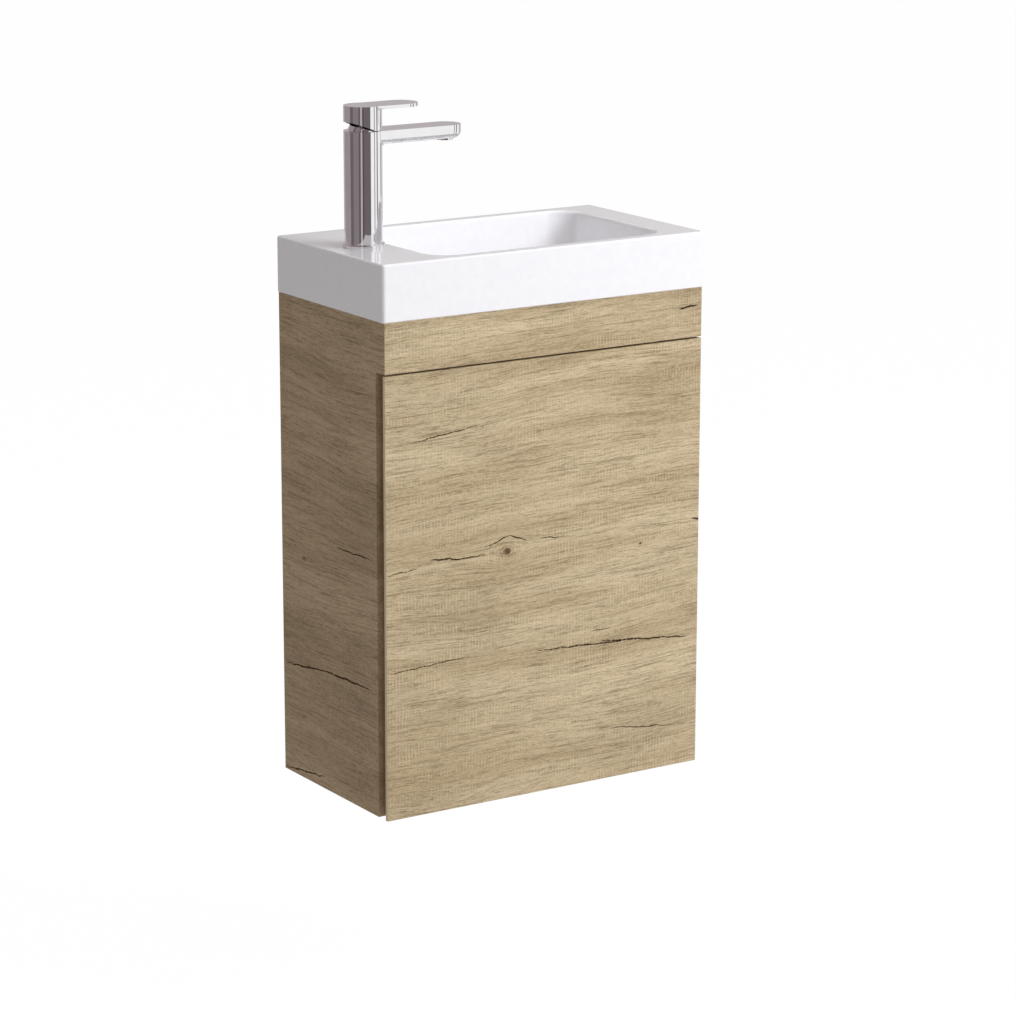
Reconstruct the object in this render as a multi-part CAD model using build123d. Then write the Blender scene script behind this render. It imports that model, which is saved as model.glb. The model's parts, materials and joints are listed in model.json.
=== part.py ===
from build123d import *
import math
import os

# A small wall-hung vanity unit: ceramic basin with a side tap deck on a one-door cabinet.
# Millimetres. X runs to the right, the front faces -Y, the wall is the plane Y = 0, Z is up.
# Z = 0 is the line of the two wall screws.

# Cabinet carcass
CABINET_W = 395.0
CABINET_D = 219.0
CABINET_H = 530.0
PANEL_T = 16.0
SCREW_LINE_DROP = 70.0
APRON_H = 53.5
RAIL_T = 16.0
RAIL_TOP_Z = 22.0
RAIL_UPPER_H = 84.0
RAIL_LOWER_H = 60.0
CORNER_BLOCK = 18.0
CORNER_BLOCK_H = 40.0
CORNER_BLOCK_DROP = 6.0
CORNER_SCREW_SINK = 4.0
CORNER_SCREW_GRIP = 10.0
CORNER_SCREW_RISE = 10.0

# Door
DOOR_T = 16.0
DOOR_TOP_GAP = 2.0
DOOR_REAR_GAP = 2.0
GRIP_EDGE_T = 4.0
GRIP_BEVEL_W = 11.0
BUMPER_R = 3.0
BUMPER_T = 1.7
BUMPER_INSET = 12.7
BUMPER_END_GAP = 20.0

# Shelf
SHELF_RISE = 144.0
SHELF_T = 16.0
SHELF_FRONT_GAP = 16.0
SHELF_REAR_GAP = 20.0
SHELF_SIDE_GAP = 1.0
SHELF_PIN_R = 2.5
SHELF_PIN_IN = 9.0
SHELF_PIN_OUT = 10.0
SHELF_PIN_END = 32.0

# Joinery
DOWEL_R = 4.0
DOWEL_L = 30.0
DOWEL_IN_SIDE = 12.0
DOWEL_REAR_INSET = 60.0
DOWEL_FRONT_INSET = 61.0
CAM_R = 7.5
CAM_H = 12.5
CAM_REACH = 34.0
CAM_BOLT_R = 3.0
CAM_BOLT_IN_SIDE = 11.0
CAM_REAR_INSET = 30.0
CAM_FRONT_INSET = 31.0
RAIL_JOINT_STEP = 9.0

# Basin
BASIN_SIDE_LAP = 2.5
BASIN_FRONT_LAP = 1.0
BASIN_H = 60.0
BASIN_CORNER_R = 4.0
BASIN_EDGE_R = 2.5
SKIRT_T = 12.0
DECK_T = 14.0
DECK_L = 74.0
BOWL_RIM_RIGHT = 40.0
BOWL_RIM_FRONT = 16.5
BOWL_RIM_REAR = 16.0
BOWL_DEPTH = 85.0
BOWL_CORNER_R = 28.0
BOWL_WALL = 6.0
BOWL_FLOOR_T = 10.0
BOWL_DRAFT = 13.0
BOWL_FLOOR_R = 18.0
BOWL_LIP_R = 4.0
WASTE_BOSS_R = 34.0
WASTE_BOSS_H = 3.0
WASTE_RECESS_GAP = 0.5

# Wall hangers
PLATE_SIDE_GAP = 2.5
PLATE_W = 32.0
PLATE_T = 2.0
PLATE_BELOW = 24.0
WALL_SCREW_R = 3.5
LIP_STAND = 8.0
LIP_H = 12.0
HOOK_W = 24.0
HOOK_T = 3.0
HOOK_PLAY = 0.8
HOOK_TIP_T = 2.5
HOOK_TIP_H = 8.0
HOOK_ROOT = 10.0
HANGER_T = 16.0
HANGER_D = 58.0
HANGER_H = 40.0
HANGER_REAR = 20.0
HANGER_RECESS = 4.0
HANGER_SCREWS_BACK = (14.5, 43.5)
NOTCH_GAP = 4.0

# Screws
WOOD_SCREW_R = 2.0
WOOD_SCREW_L = 12.0
SCREW_HEAD_R = 3.8
SCREW_HEAD_T = 1.6

# Concealed hinges, measured in from the door's hinge edge and forward from its rear face
HINGE_END_INSET = 90.0
CUP_R = 17.5
CUP_EDGE = 4.0
CUP_DEPTH = 11.5
CUP_WALL = 1.2
CUP_FLANGE_T = 1.2
CUP_WING_SPAN = 29.0
CUP_SCREW_SPAN = 24.0
CUP_SCREW_OFFSET = 9.5
CUP_WING_FAR = 13.5
CUP_WING_NEAR = 7.5
LUG_T = 3.0
LUG_FAR = 10.0
LUG_NEAR = 4.0
LUG_SINK = 2.0
ARM_PIVOT_IN = 32.0
ARM_PIVOT_OUT = 5.0
CUP_PIVOT_IN = 11.0
CUP_PIVOT_OUT = 6.5
LINK_BEND_IN = 20.0
LINK_BEND_OUT = 8.3
LINK_T = 2.0
LINK_HALF_W = 6.2
LINK_EYE_R = 2.6
HINGE_PIN_R = 1.5
HINGE_PIN_PLAY = 0.05
ARM_CHEEK_T = 1.5
ARM_CHEEK_GAP = 0.3
ARM_EYE_R = 2.6
ARM_LIFT = 1.0
ARM_SETBACK = 2.0
ARM_SCREW_BACK = 50.0
ARM_SCREW_R = 2.5
ARM_SCREW_GRIP = 6.0
PLATE_BASE_T = 3.0
PLATE_RIB_T = 5.0
PLATE_RIB_W = 11.0
PLATE_REAR = 60.0
PLATE_FRONT = 14.0
PLATE_SCREW_BACK = 39.0
PLATE_SCREW_SPAN = 16.0

# Tap
TAP_IN = 43.0
TAP_R = 20.0
TAP_BASE_R = 22.5
TAP_BASE_H = 4.0
TAP_BASE_EDGE_R = 1.25
TAP_GASKET_T = 1.2
TAP_GASKET_R = 15.0
TAP_BODY_TOP = 121.0
SPOUT_T = 14.5
SPOUT_HALF_W = 17.0
SPOUT_REACH = 99.0
SPOUT_EDGE_R = 7.5
SPOUT_ROOT_R = 4.0
TAP_HOLE_R = 17.5
BORE_R = 14.0
BORE_FLOOR = 75.0
CARTRIDGE_PLAY = 0.1
CARTRIDGE_TOP_GAP = 1.0
AERATOR_R = 9.0
AERATOR_PROUD = 2.0
AERATOR_IN = 7.0
AERATOR_MESH_R = 7.5
AERATOR_MESH_UP = 1.0
CHANNEL_R = 4.0
INLET_R = 4.5
INLET_L = 14.0
INLET_SPREAD = 8.0
INLET_BACK = 4.0
INLET_CHANNEL_R = 2.0
STUD_R = 3.0
STUD_OUT = 10.0
STUD_L = 58.0
HORSESHOE_R = 19.5
HORSESHOE_GASKET_T = 3.0
HORSESHOE_T = 2.0
HORSESHOE_OPEN = 3.0
HORSESHOE_SLOT = 14.0
STUD_NUT_R = 6.5
STUD_NUT_H = 8.0

# Lever
LEVER_TOP = 147.0
LEVER_BAR_T = 3.5
LEVER_HALF_W = 18.5
LEVER_REACH = 45.0
LEVER_GAP = 0.6
LEVER_RIDGE = 5.4
LEVER_SLOPE = 0.37
LEVER_CAVITY_R = 17.4
LEVER_CEILING = 141.0
BOSS_R = 7.0
BOSS_H = 7.0
BOSS_RIB_HALF_W = 6.0
TILT_Z = 118.0
DOME_R = 16.0
DOME_BORE_R = 10.5
DOME_NECK_H = 1.0
CARRIER_R = 9.0
CARRIER_PLAY = 0.05
CARRIER_TOP = 124.0
CARRIER_FLOOR = 107.0
CARRIER_GAP = 0.3
CARRIER_WEB_T = 2.0
SPINDLE_HALF = 3.0
SPINDLE_PLAY = 0.1
SPINDLE_FOOT_UP = 4.0
SPINDLE_TOP_GAP = 1.0
TILT_PIN_R = 1.5
TILT_PIN_INSET = 1.0
GRUB_R = 2.5
GRUB_L = 9.0
INDICATOR_R = 3.0
INDICATOR_PROUD = 0.4
INDICATOR_ROOT = 1.0

# Waste and trap
WASTE_HOLE_R = 22.5
WASTE_TUBE_R = 20.8
WASTE_BORE_R = 18.0
WASTE_FLANGE_R = 32.0
WASTE_FLANGE_T = 2.5
WASTE_GASKET_T = 1.0
WASTE_RECESS = 3.0
WASTE_SEAL_T = 3.0
WASTE_TUBE_L = 65.5
LOCKNUT_R = 30.0
LOCKNUT_H = 8.0
PLUG_R = 29.0
PLUG_T = 4.0
PLUG_SEAL_T = 0.7
PLUG_SEAL_R = 27.0
PLUG_SEAT_GAP = 0.3
STEM_R = 4.0
STEM_L = 34.5
STEM_PLAY = 0.05
GUIDE_HUB_R = 7.0
GUIDE_RIB_T = 3.0
GUIDE_DROP = 17.5
GUIDE_H = 10.0
TRAP_NUT_R = 25.0
TRAP_NUT_H = 18.0
TRAP_R = 27.0
TRAP_WALL = 2.5
TRAP_ROOF_T = 5.0
TRAP_COLLAR_H = 6.0
TRAP_BODY_H = 94.0
TRAP_CUP_R = 29.0
TRAP_CUP_H = 40.0
TRAP_CUP_FLOOR = 4.0
DIP_R = 15.0
DIP_WALL = 2.0
DIP_SHORT = 13.0
OUTLET_DROP = 69.0
OUTLET_R = 16.0
OUTLET_WALL = 2.0
OUTLET_END_L = 40.0
OUTLET_STEP = 0.3
OUTLET_NUT_GAP = 2.0
OUTLET_NUT_R = 22.0
OUTLET_NUT_L = 18.0
OUTLET_INSERT = 12.0

# Places worked out from the sizes above
TOP_Z = SCREW_LINE_DROP
BOTTOM_Z = TOP_Z - CABINET_H
BASIN_W = CABINET_W + 2 * BASIN_SIDE_LAP
BASIN_D = CABINET_D + BASIN_FRONT_LAP
DECK_Z = TOP_Z + BASIN_H
SIDE_X = CABINET_W / 2
INNER_X = SIDE_X - PANEL_T
FRONT_Y = -CABINET_D
DOOR_REAR_Y = FRONT_Y + DOOR_T
SIDE_FRONT_Y = DOOR_REAR_Y + DOOR_REAR_GAP
APRON_Z = TOP_Z - APRON_H
DOOR_TOP_Z = APRON_Z - DOOR_TOP_GAP
FLOOR_Z = BOTTOM_Z + PANEL_T
SHELF_Z = FLOOR_Z + SHELF_RISE
SHELF_FRONT_Y = SIDE_FRONT_Y + SHELF_FRONT_GAP
PLATE_X = INNER_X - PLATE_SIDE_GAP - PLATE_W / 2
BOWL_W = BASIN_W - DECK_L - BOWL_RIM_RIGHT
BOWL_D = BASIN_D - BOWL_RIM_FRONT - BOWL_RIM_REAR
BOWL_X = -BASIN_W / 2 + DECK_L + BOWL_W / 2
BOWL_Y = -BOWL_RIM_REAR - BOWL_D / 2
BOWL_FLOOR_Z = DECK_Z - BOWL_DEPTH
BOSS_FOOT_Z = BOWL_FLOOR_Z - BOWL_FLOOR_T - WASTE_BOSS_H
TAP_X = -BASIN_W / 2 + TAP_IN
TAP_Y = -BASIN_D / 2
HINGES = {"upper": DOOR_TOP_Z - HINGE_END_INSET, "lower": BOTTOM_Z + HINGE_END_INSET}
RAIL_FOOT_Z = RAIL_TOP_Z - RAIL_UPPER_H
FLANGE_TOP_Z = BOWL_FLOOR_Z - WASTE_RECESS + WASTE_GASKET_T + WASTE_FLANGE_T
TUBE_END_Z = FLANGE_TOP_Z - WASTE_TUBE_L
TRAP_TOP_Z = TUBE_END_Z - TRAP_COLLAR_H
TRAP_FOOT_Z = TRAP_TOP_Z - TRAP_BODY_H
OUTLET_Z = TRAP_TOP_Z - OUTLET_DROP
SIDES = (-1, 1)
OVER = 1.0


def block(x0, x1, y0, y1, z0, z1):
    """A box between two corners."""
    size = (x1 - x0, y1 - y0, z1 - z0)
    centre = ((x0 + x1) / 2, (y0 + y1) / 2, (z0 + z1) / 2)
    return Pos(*centre) * Box(*size)


def drum(x, y, z0, z1, radius):
    """An upright cylinder."""
    return Pos(x, y, (z0 + z1) / 2) * Cylinder(radius, z1 - z0)


def bar_x(x0, x1, y, z, radius):
    """A cylinder along X."""
    return Pos((x0 + x1) / 2, y, z) * Rot(0, 90, 0) * Cylinder(radius, abs(x1 - x0))


def bar_y(x, y0, y1, z, radius):
    """A cylinder along Y."""
    return Pos(x, (y0 + y1) / 2, z) * Rot(90, 0, 0) * Cylinder(radius, abs(y1 - y0))


def ring(x, y, z0, z1, outer, inner):
    """An upright tube."""
    return drum(x, y, z0, z1, outer) - drum(x, y, z0 - OVER, z1 + OVER, inner)


def prism(points, axis_plane, start, length):
    """A polygon drawn on a plane and pushed along its normal from start."""
    plane = axis_plane.offset(start)
    return extrude(plane * make_face(Polyline(*points, close=True)), length)


def plan_prism(points, z0, z1):
    """A polygon in plan, standing from z0 to z1."""
    return prism(points, Plane.XY, z0, z1 - z0)


def group(shapes):
    """Several separate solids in one node."""
    return Compound(children=[solid for shape in shapes for solid in shape.solids()])


def screw_x(x, y, z, way):
    """A wood screw with its head's seat at x, driven along way (+1 or -1) in X."""
    shank = bar_x(x, x + way * WOOD_SCREW_L, y, z, WOOD_SCREW_R)
    return shank + bar_x(x - way * SCREW_HEAD_T, x, y, z, SCREW_HEAD_R)


def screw_y(x, y, z, way):
    """A wood screw with its head's seat at y, driven along way (+1 or -1) in Y."""
    shank = bar_y(x, y, y + way * WOOD_SCREW_L, z, WOOD_SCREW_R)
    return shank + bar_y(x, y - way * SCREW_HEAD_T, y, z, SCREW_HEAD_R)


def joint_rows():
    """Where the bottom and the rails meet the sides: y, z and the cam's axis and side."""
    dowel_places = (-DOWEL_REAR_INSET, SIDE_FRONT_Y + DOWEL_FRONT_INSET)
    cam_places = (-CAM_REAR_INSET, SIDE_FRONT_Y + CAM_FRONT_INSET)
    rows = [("dowel", y, BOTTOM_Z + PANEL_T / 2, None) for y in dowel_places]
    rows += [("cam", y, BOTTOM_Z + PANEL_T / 2, "below") for y in cam_places]
    upper_z = RAIL_FOOT_Z + RAIL_JOINT_STEP
    lower_z = FLOOR_Z + RAIL_LOWER_H / 2
    rows.append(("cam", -RAIL_T / 2, upper_z, "behind"))
    rows.append(("dowel", -RAIL_T / 2, upper_z + 2 * RAIL_JOINT_STEP, None))
    rows.append(("cam", -RAIL_T / 2, lower_z - RAIL_JOINT_STEP, "behind"))
    rows.append(("dowel", -RAIL_T / 2, lower_z + RAIL_JOINT_STEP, None))
    return rows


def dowels():
    """Beech dowels that line the boards up."""
    shapes = []
    for kind, y, z, _ in joint_rows():
        for side in SIDES:
            if kind == "dowel":
                start = side * (INNER_X + DOWEL_IN_SIDE)
                shapes.append(bar_x(start, start - side * DOWEL_L, y, z, DOWEL_R))
    return group(shapes)


def cam_bolts():
    """Steel bolts from the sides into the cam locks."""
    shapes = []
    for kind, y, z, _ in joint_rows():
        for side in SIDES:
            if kind == "cam":
                start = side * (INNER_X + CAM_BOLT_IN_SIDE)
                end = side * (INNER_X - CAM_REACH)
                shapes.append(bar_x(start, end, y, z, CAM_BOLT_R))
    return group(shapes)


def cam_locks():
    """Round cam locks, let into the bottom from below and into the rails from behind."""
    shapes = []
    for kind, y, z, face in joint_rows():
        for side in SIDES:
            x = side * (INNER_X - CAM_REACH)
            if face == "below":
                shapes.append(drum(x, y, BOTTOM_Z, BOTTOM_Z + CAM_H, CAM_R))
            if face == "behind":
                shapes.append(bar_y(x, -CAM_H, 0, z, CAM_R))
    return group(shapes)


def shelf_pins():
    """Four pins that carry the shelf."""
    shapes = []
    front = SHELF_FRONT_Y + SHELF_PIN_END
    rear = -SHELF_REAR_GAP - SHELF_PIN_END
    for side in SIDES:
        for y in (front, rear):
            z = SHELF_Z - SHELF_T - SHELF_PIN_R
            x0 = side * (INNER_X + SHELF_PIN_IN)
            x1 = side * (INNER_X - SHELF_PIN_OUT)
            shapes.append(bar_x(x0, x1, y, z, SHELF_PIN_R))
    return group(shapes)


def hanger_screws():
    """Screws that hold the hangers to the sides."""
    shapes = []
    for side in SIDES:
        for back in HANGER_SCREWS_BACK:
            y = -HANGER_REAR - back
            z = hanger_foot_z() + HANGER_H / 2
            seat = side * (INNER_X - HANGER_T + HANGER_RECESS)
            shank = bar_x(seat, side * (INNER_X + WOOD_SCREW_L), y, z, WOOD_SCREW_R)
            head = bar_x(seat - side * SCREW_HEAD_T, seat, y, z, SCREW_HEAD_R)
            shapes.append(shank + head)
    return group(shapes)


def lip_top_z():
    """The top of the wall plate's lip, which the hook hangs on."""
    return RAIL_TOP_Z - PLATE_T + LIP_H


def hanger_foot_z():
    """The underside of a hanger's housing."""
    return lip_top_z() + HOOK_T - HANGER_H + HOOK_T


def corner_block_screws():
    """Screws through the corner blocks into the sides and the apron."""
    shapes = []
    mid_z = TOP_Z - CORNER_BLOCK_DROP - CORNER_BLOCK_H / 2
    for side in SIDES:
        x = side * (INNER_X - CORNER_BLOCK / 2)
        y = DOOR_REAR_Y + CORNER_BLOCK / 2
        side_seat = side * (INNER_X - CORNER_BLOCK + CORNER_SCREW_SINK)
        apron_seat = DOOR_REAR_Y + CORNER_BLOCK - CORNER_SCREW_SINK
        low = mid_z - CORNER_SCREW_RISE
        high = mid_z + CORNER_SCREW_RISE
        into_side = side * (INNER_X + CORNER_SCREW_GRIP)
        into_apron = DOOR_REAR_Y - CORNER_SCREW_GRIP
        head_x = bar_x(side_seat - side * SCREW_HEAD_T, side_seat, y, low, SCREW_HEAD_R)
        head_y = bar_y(x, apron_seat, apron_seat + SCREW_HEAD_T, high, SCREW_HEAD_R)
        shapes.append(bar_x(side_seat, into_side, y, low, WOOD_SCREW_R) + head_x)
        shapes.append(bar_y(x, apron_seat, into_apron, high, WOOD_SCREW_R) + head_y)
    return group(shapes)


def corner_blocks():
    """Blocks that tie the apron to the sides, in the corners behind it."""
    top = TOP_Z - CORNER_BLOCK_DROP
    shapes = []
    for side in SIDES:
        x0, x1 = sorted((side * INNER_X, side * (INNER_X - CORNER_BLOCK)))
        y1 = DOOR_REAR_Y + CORNER_BLOCK
        shapes.append(block(x0, x1, DOOR_REAR_Y, y1, top - CORNER_BLOCK_H, top))
    return group(shapes)


def side_panel(side):
    """A side with its full-depth tongue beside the apron, mitred at the front."""
    profile = [
        (0, TOP_Z),
        (FRONT_Y, TOP_Z),
        (FRONT_Y, APRON_Z),
        (SIDE_FRONT_Y, APRON_Z),
        (SIDE_FRONT_Y, BOTTOM_Z),
        (0, BOTTOM_Z),
    ]
    start = INNER_X if side > 0 else -SIDE_X
    panel = prism(profile, Plane.YZ, start, PANEL_T)
    corner = [
        (side * SIDE_X, FRONT_Y),
        (side * INNER_X, FRONT_Y + PANEL_T),
        (side * (INNER_X - OVER), FRONT_Y + PANEL_T),
        (side * (INNER_X - OVER), FRONT_Y - OVER),
        (side * SIDE_X, FRONT_Y - OVER),
    ]
    return panel - plan_prism(corner, APRON_Z - OVER, TOP_Z + OVER)


def apron_panel():
    """The fixed front strip above the door, mitred into the sides."""
    plan = [
        (-SIDE_X, FRONT_Y),
        (SIDE_X, FRONT_Y),
        (INNER_X, FRONT_Y + PANEL_T),
        (-INNER_X, FRONT_Y + PANEL_T),
    ]
    return plan_prism(plan, APRON_Z, TOP_Z)


def bottom_panel():
    """The cabinet's floor."""
    return block(-INNER_X, INNER_X, SIDE_FRONT_Y, 0, BOTTOM_Z, FLOOR_Z)


def rear_rail_upper():
    """The upper rear rail, notched at both ends for the wall hangers."""
    rail = block(-INNER_X, INNER_X, -RAIL_T, 0, RAIL_FOOT_Z, RAIL_TOP_Z)
    notch_x = PLATE_X - PLATE_W / 2 - NOTCH_GAP
    notch_z = -PLATE_BELOW - NOTCH_GAP
    for side in SIDES:
        x0, x1 = sorted((side * notch_x, side * (INNER_X + OVER)))
        rail -= block(x0, x1, -RAIL_T - OVER, OVER, notch_z, RAIL_TOP_Z + OVER)
    return rail


def rear_rail_lower():
    """The lower rear rail, standing on the bottom."""
    return block(-INNER_X, INNER_X, -RAIL_T, 0, FLOOR_Z, FLOOR_Z + RAIL_LOWER_H)


def shelf():
    """A loose shelf on four pins."""
    half = INNER_X - SHELF_SIDE_GAP
    return block(-half, half, SHELF_FRONT_Y, -SHELF_REAR_GAP, SHELF_Z - SHELF_T, SHELF_Z)


def door_bumpers():
    """Soft dots on the left side's front edge that the door closes on."""
    x = -SIDE_X + BUMPER_INSET
    places = (DOOR_TOP_Z - BUMPER_END_GAP, BOTTOM_Z + BUMPER_END_GAP)
    dots = [bar_y(x, SIDE_FRONT_Y - BUMPER_T, SIDE_FRONT_Y, z, BUMPER_R) for z in places]
    return group(dots)


def wall_plate(side):
    """A steel plate for one wall screw, with an upturned lip."""
    x0 = side * PLATE_X - PLATE_W / 2
    x1 = side * PLATE_X + PLATE_W / 2
    plate = block(x0, x1, -PLATE_T, 0, -PLATE_BELOW, RAIL_TOP_Z)
    plate += block(x0, x1, -LIP_STAND, -PLATE_T, RAIL_TOP_Z - PLATE_T, RAIL_TOP_Z)
    plate += block(x0, x1, -LIP_STAND, PLATE_T - LIP_STAND, RAIL_TOP_Z, lip_top_z())
    return plate - bar_y(side * PLATE_X, -PLATE_T - OVER, OVER, 0, WALL_SCREW_R)


def hanger(side):
    """A cabinet hanger: a housing on the side panel with a hook over the wall plate's lip."""
    foot = hanger_foot_z()
    x0, x1 = sorted((side * INNER_X, side * (INNER_X - HANGER_T)))
    rear = -HANGER_REAR
    housing = block(x0, x1, rear - HANGER_D, rear, foot, foot + HANGER_H)
    seat = lip_top_z()
    hx0 = side * PLATE_X - HOOK_W / 2
    hx1 = side * PLATE_X + HOOK_W / 2
    tip_front = -LIP_STAND + PLATE_T + HOOK_PLAY
    tip_rear = tip_front + HOOK_TIP_T
    housing += block(hx0, hx1, rear - HOOK_ROOT, tip_rear, seat, seat + HOOK_T)
    housing += block(hx0, hx1, tip_front, tip_rear, seat - HOOK_TIP_H, seat)
    for back in HANGER_SCREWS_BACK:
        y = rear - back
        z = foot + HANGER_H / 2
        mouth = side * (INNER_X - HANGER_T - OVER)
        floor = side * (INNER_X - HANGER_T + HANGER_RECESS)
        housing -= bar_x(mouth, floor, y, z, SCREW_HEAD_R)
    return housing - hanger_screws()


def hinge_x(inward):
    """X of a point given in from the door's hinge edge."""
    return SIDE_X - inward


def hinge_y(outward):
    """Y of a point given forward from the door's rear face."""
    return DOOR_REAR_Y - outward


def hinge_points(points):
    """Door-edge points turned into plan points."""
    return [(hinge_x(inward), hinge_y(outward)) for inward, outward in points]


def hinge_pin(inward, outward, z, half, radius):
    """An upright pin at a hinge point."""
    return drum(hinge_x(inward), hinge_y(outward), z - half, z + half, radius)


def cup_pin_half():
    """Half the length of the pin through the cup's lugs."""
    return LINK_HALF_W + ARM_CHEEK_GAP + LUG_T


def arm_pin_half():
    """Half the length of the pin through the arm's cheeks."""
    return LINK_HALF_W + ARM_CHEEK_GAP + ARM_CHEEK_T


def cup_centre_in():
    """The cup's centre, in from the door's hinge edge."""
    return CUP_EDGE + CUP_R


def cup_drum(z, radius, low, high):
    """A cylinder about the cup's axis, from low to high forward of the door's rear face."""
    return bar_y(hinge_x(cup_centre_in()), hinge_y(low), hinge_y(high), z, radius)


def hinge_cup(z):
    """A hinge cup with its two wings and the lugs that hold its pin."""
    x = hinge_x(cup_centre_in())
    cup = cup_drum(z, CUP_R, -CUP_FLANGE_T, CUP_DEPTH)
    rear, face = hinge_y(-CUP_FLANGE_T), hinge_y(0)
    cup += block(x - CUP_WING_FAR, x + CUP_WING_NEAR, face, rear, z - CUP_WING_SPAN, z + CUP_WING_SPAN)
    cup -= cup_drum(z, CUP_R - CUP_WALL, -CUP_FLANGE_T - OVER, CUP_DEPTH - CUP_WALL)
    inner = LINK_HALF_W + ARM_CHEEK_GAP
    near, far = CUP_PIVOT_IN - LUG_FAR, CUP_PIVOT_IN + LUG_NEAR
    plan = hinge_points([(near, LUG_SINK), (far, LUG_SINK), (far, CUP_DEPTH), (near, CUP_DEPTH)])
    lugs = plan_prism(plan, z - inner - LUG_T, z + inner + LUG_T)
    lugs -= plan_prism(plan, z - inner, z + inner)
    lugs &= cup_drum(z, CUP_R, 0, CUP_DEPTH)
    cup += lugs
    cup -= hinge_pin(CUP_PIVOT_IN, CUP_PIVOT_OUT, z, cup_pin_half(), HINGE_PIN_R)
    return cup - hinge_cup_screw_pair(z)


def hinge_cup_screw_pair(z):
    """The two screws of a hinge cup."""
    x = hinge_x(cup_centre_in() + CUP_SCREW_OFFSET)
    seat = hinge_y(-CUP_FLANGE_T)
    low = screw_y(x, seat, z - CUP_SCREW_SPAN, -1)
    return group([low, screw_y(x, seat, z + CUP_SCREW_SPAN, -1)])


def capsule(start, end, half_t):
    """A flat bar in plan with round ends, as its outline."""
    (x0, y0), (x1, y1) = start, end
    length = math.hypot(x1 - x0, y1 - y0)
    angle = math.degrees(math.atan2(y1 - y0, x1 - x0))
    middle = Pos((x0 + x1) / 2, (y0 + y1) / 2)
    return middle * Rot(0, 0, angle) * SlotCenterToCenter(length, 2 * half_t)


def hinge_link(z):
    """The bent link between the cup's pin and the arm's pin."""
    nodes = ((CUP_PIVOT_IN, CUP_PIVOT_OUT), (LINK_BEND_IN, LINK_BEND_OUT), (ARM_PIVOT_IN, ARM_PIVOT_OUT))
    cup_end, bend, arm_end = hinge_points(nodes)
    plan = capsule(cup_end, bend, LINK_T / 2) + capsule(bend, arm_end, LINK_T / 2)
    for x, y in (cup_end, arm_end):
        plan += Pos(x, y) * Circle(LINK_EYE_R)
        plan -= Pos(x, y) * Circle(HINGE_PIN_R + HINGE_PIN_PLAY)
    return extrude(Pos(0, 0, z - LINK_HALF_W) * plan, 2 * LINK_HALF_W)


def hinge_arm(z):
    """The hinge arm: a channel over the plate's rib with two cheeks that reach the pin."""
    base = PANEL_T + PLATE_BASE_T + ARM_LIFT
    web_in = PANEL_T + PLATE_BASE_T + PLATE_RIB_T
    top = web_in + ARM_CHEEK_T
    rear, front = -PLATE_REAR + ARM_SETBACK, -PLATE_FRONT - ARM_SETBACK
    side = [
        (base, rear),
        (top, rear),
        (top, front),
        (ARM_PIVOT_IN + ARM_EYE_R, ARM_PIVOT_OUT - ARM_EYE_R),
        (ARM_PIVOT_IN, ARM_PIVOT_OUT),
        (ARM_PIVOT_IN - ARM_EYE_R, ARM_PIVOT_OUT - ARM_EYE_R / 2),
        (base, front),
    ]
    inner = LINK_HALF_W + ARM_CHEEK_GAP
    outer = inner + ARM_CHEEK_T
    plan = hinge_points(side)
    arm = plan_prism(plan, z - outer, z + outer)
    arm += hinge_pin(ARM_PIVOT_IN, ARM_PIVOT_OUT, z, outer, ARM_EYE_R)
    hollow = block(
        hinge_x(ARM_PIVOT_IN + 2 * ARM_EYE_R), hinge_x(0),
        hinge_y(ARM_PIVOT_OUT + 2 * ARM_EYE_R), hinge_y(rear - OVER), z - inner, z + inner,
    )
    web = block(hinge_x(top), hinge_x(web_in), hinge_y(front), hinge_y(rear), z - outer, z + outer)
    arm = (arm - hollow) + web
    arm -= hinge_pin(ARM_PIVOT_IN, ARM_PIVOT_OUT, z, arm_pin_half(), HINGE_PIN_R)
    return arm - hinge_arm_screw(z)


def hinge_arm_screw(z):
    """The screw that clamps an arm on its plate."""
    seat = hinge_x(PANEL_T + PLATE_BASE_T + PLATE_RIB_T + ARM_CHEEK_T)
    y = hinge_y(-ARM_SCREW_BACK)
    shank = bar_x(seat, seat + ARM_SCREW_GRIP, y, z, ARM_SCREW_R)
    return shank + bar_x(seat - SCREW_HEAD_T, seat, y, z, SCREW_HEAD_R)


def hinge_plate(z):
    """The mounting plate on the right side panel, with wings for two screws."""
    near, base = hinge_x(PANEL_T), hinge_x(PANEL_T + PLATE_BASE_T)
    rib = hinge_x(PANEL_T + PLATE_BASE_T + PLATE_RIB_T)
    front, rear = hinge_y(-PLATE_FRONT), hinge_y(-PLATE_REAR)
    plate = block(rib, near, front, rear, z - PLATE_RIB_W / 2, z + PLATE_RIB_W / 2)
    screw_y0 = hinge_y(-PLATE_SCREW_BACK)
    wing = PLATE_SCREW_SPAN + 2 * SCREW_HEAD_R
    plate += block(base, near, screw_y0 - 2 * SCREW_HEAD_R, screw_y0 + 2 * SCREW_HEAD_R, z - wing, z + wing)
    return plate - hinge_plate_screw_pair(z) - hinge_arm_screw(z)


def hinge_plate_screw_pair(z):
    """The two screws of a mounting plate."""
    seat = hinge_x(PANEL_T + PLATE_BASE_T)
    y = hinge_y(-PLATE_SCREW_BACK)
    return group([screw_x(seat, y, z - PLATE_SCREW_SPAN, 1), screw_x(seat, y, z + PLATE_SCREW_SPAN, 1)])


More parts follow.
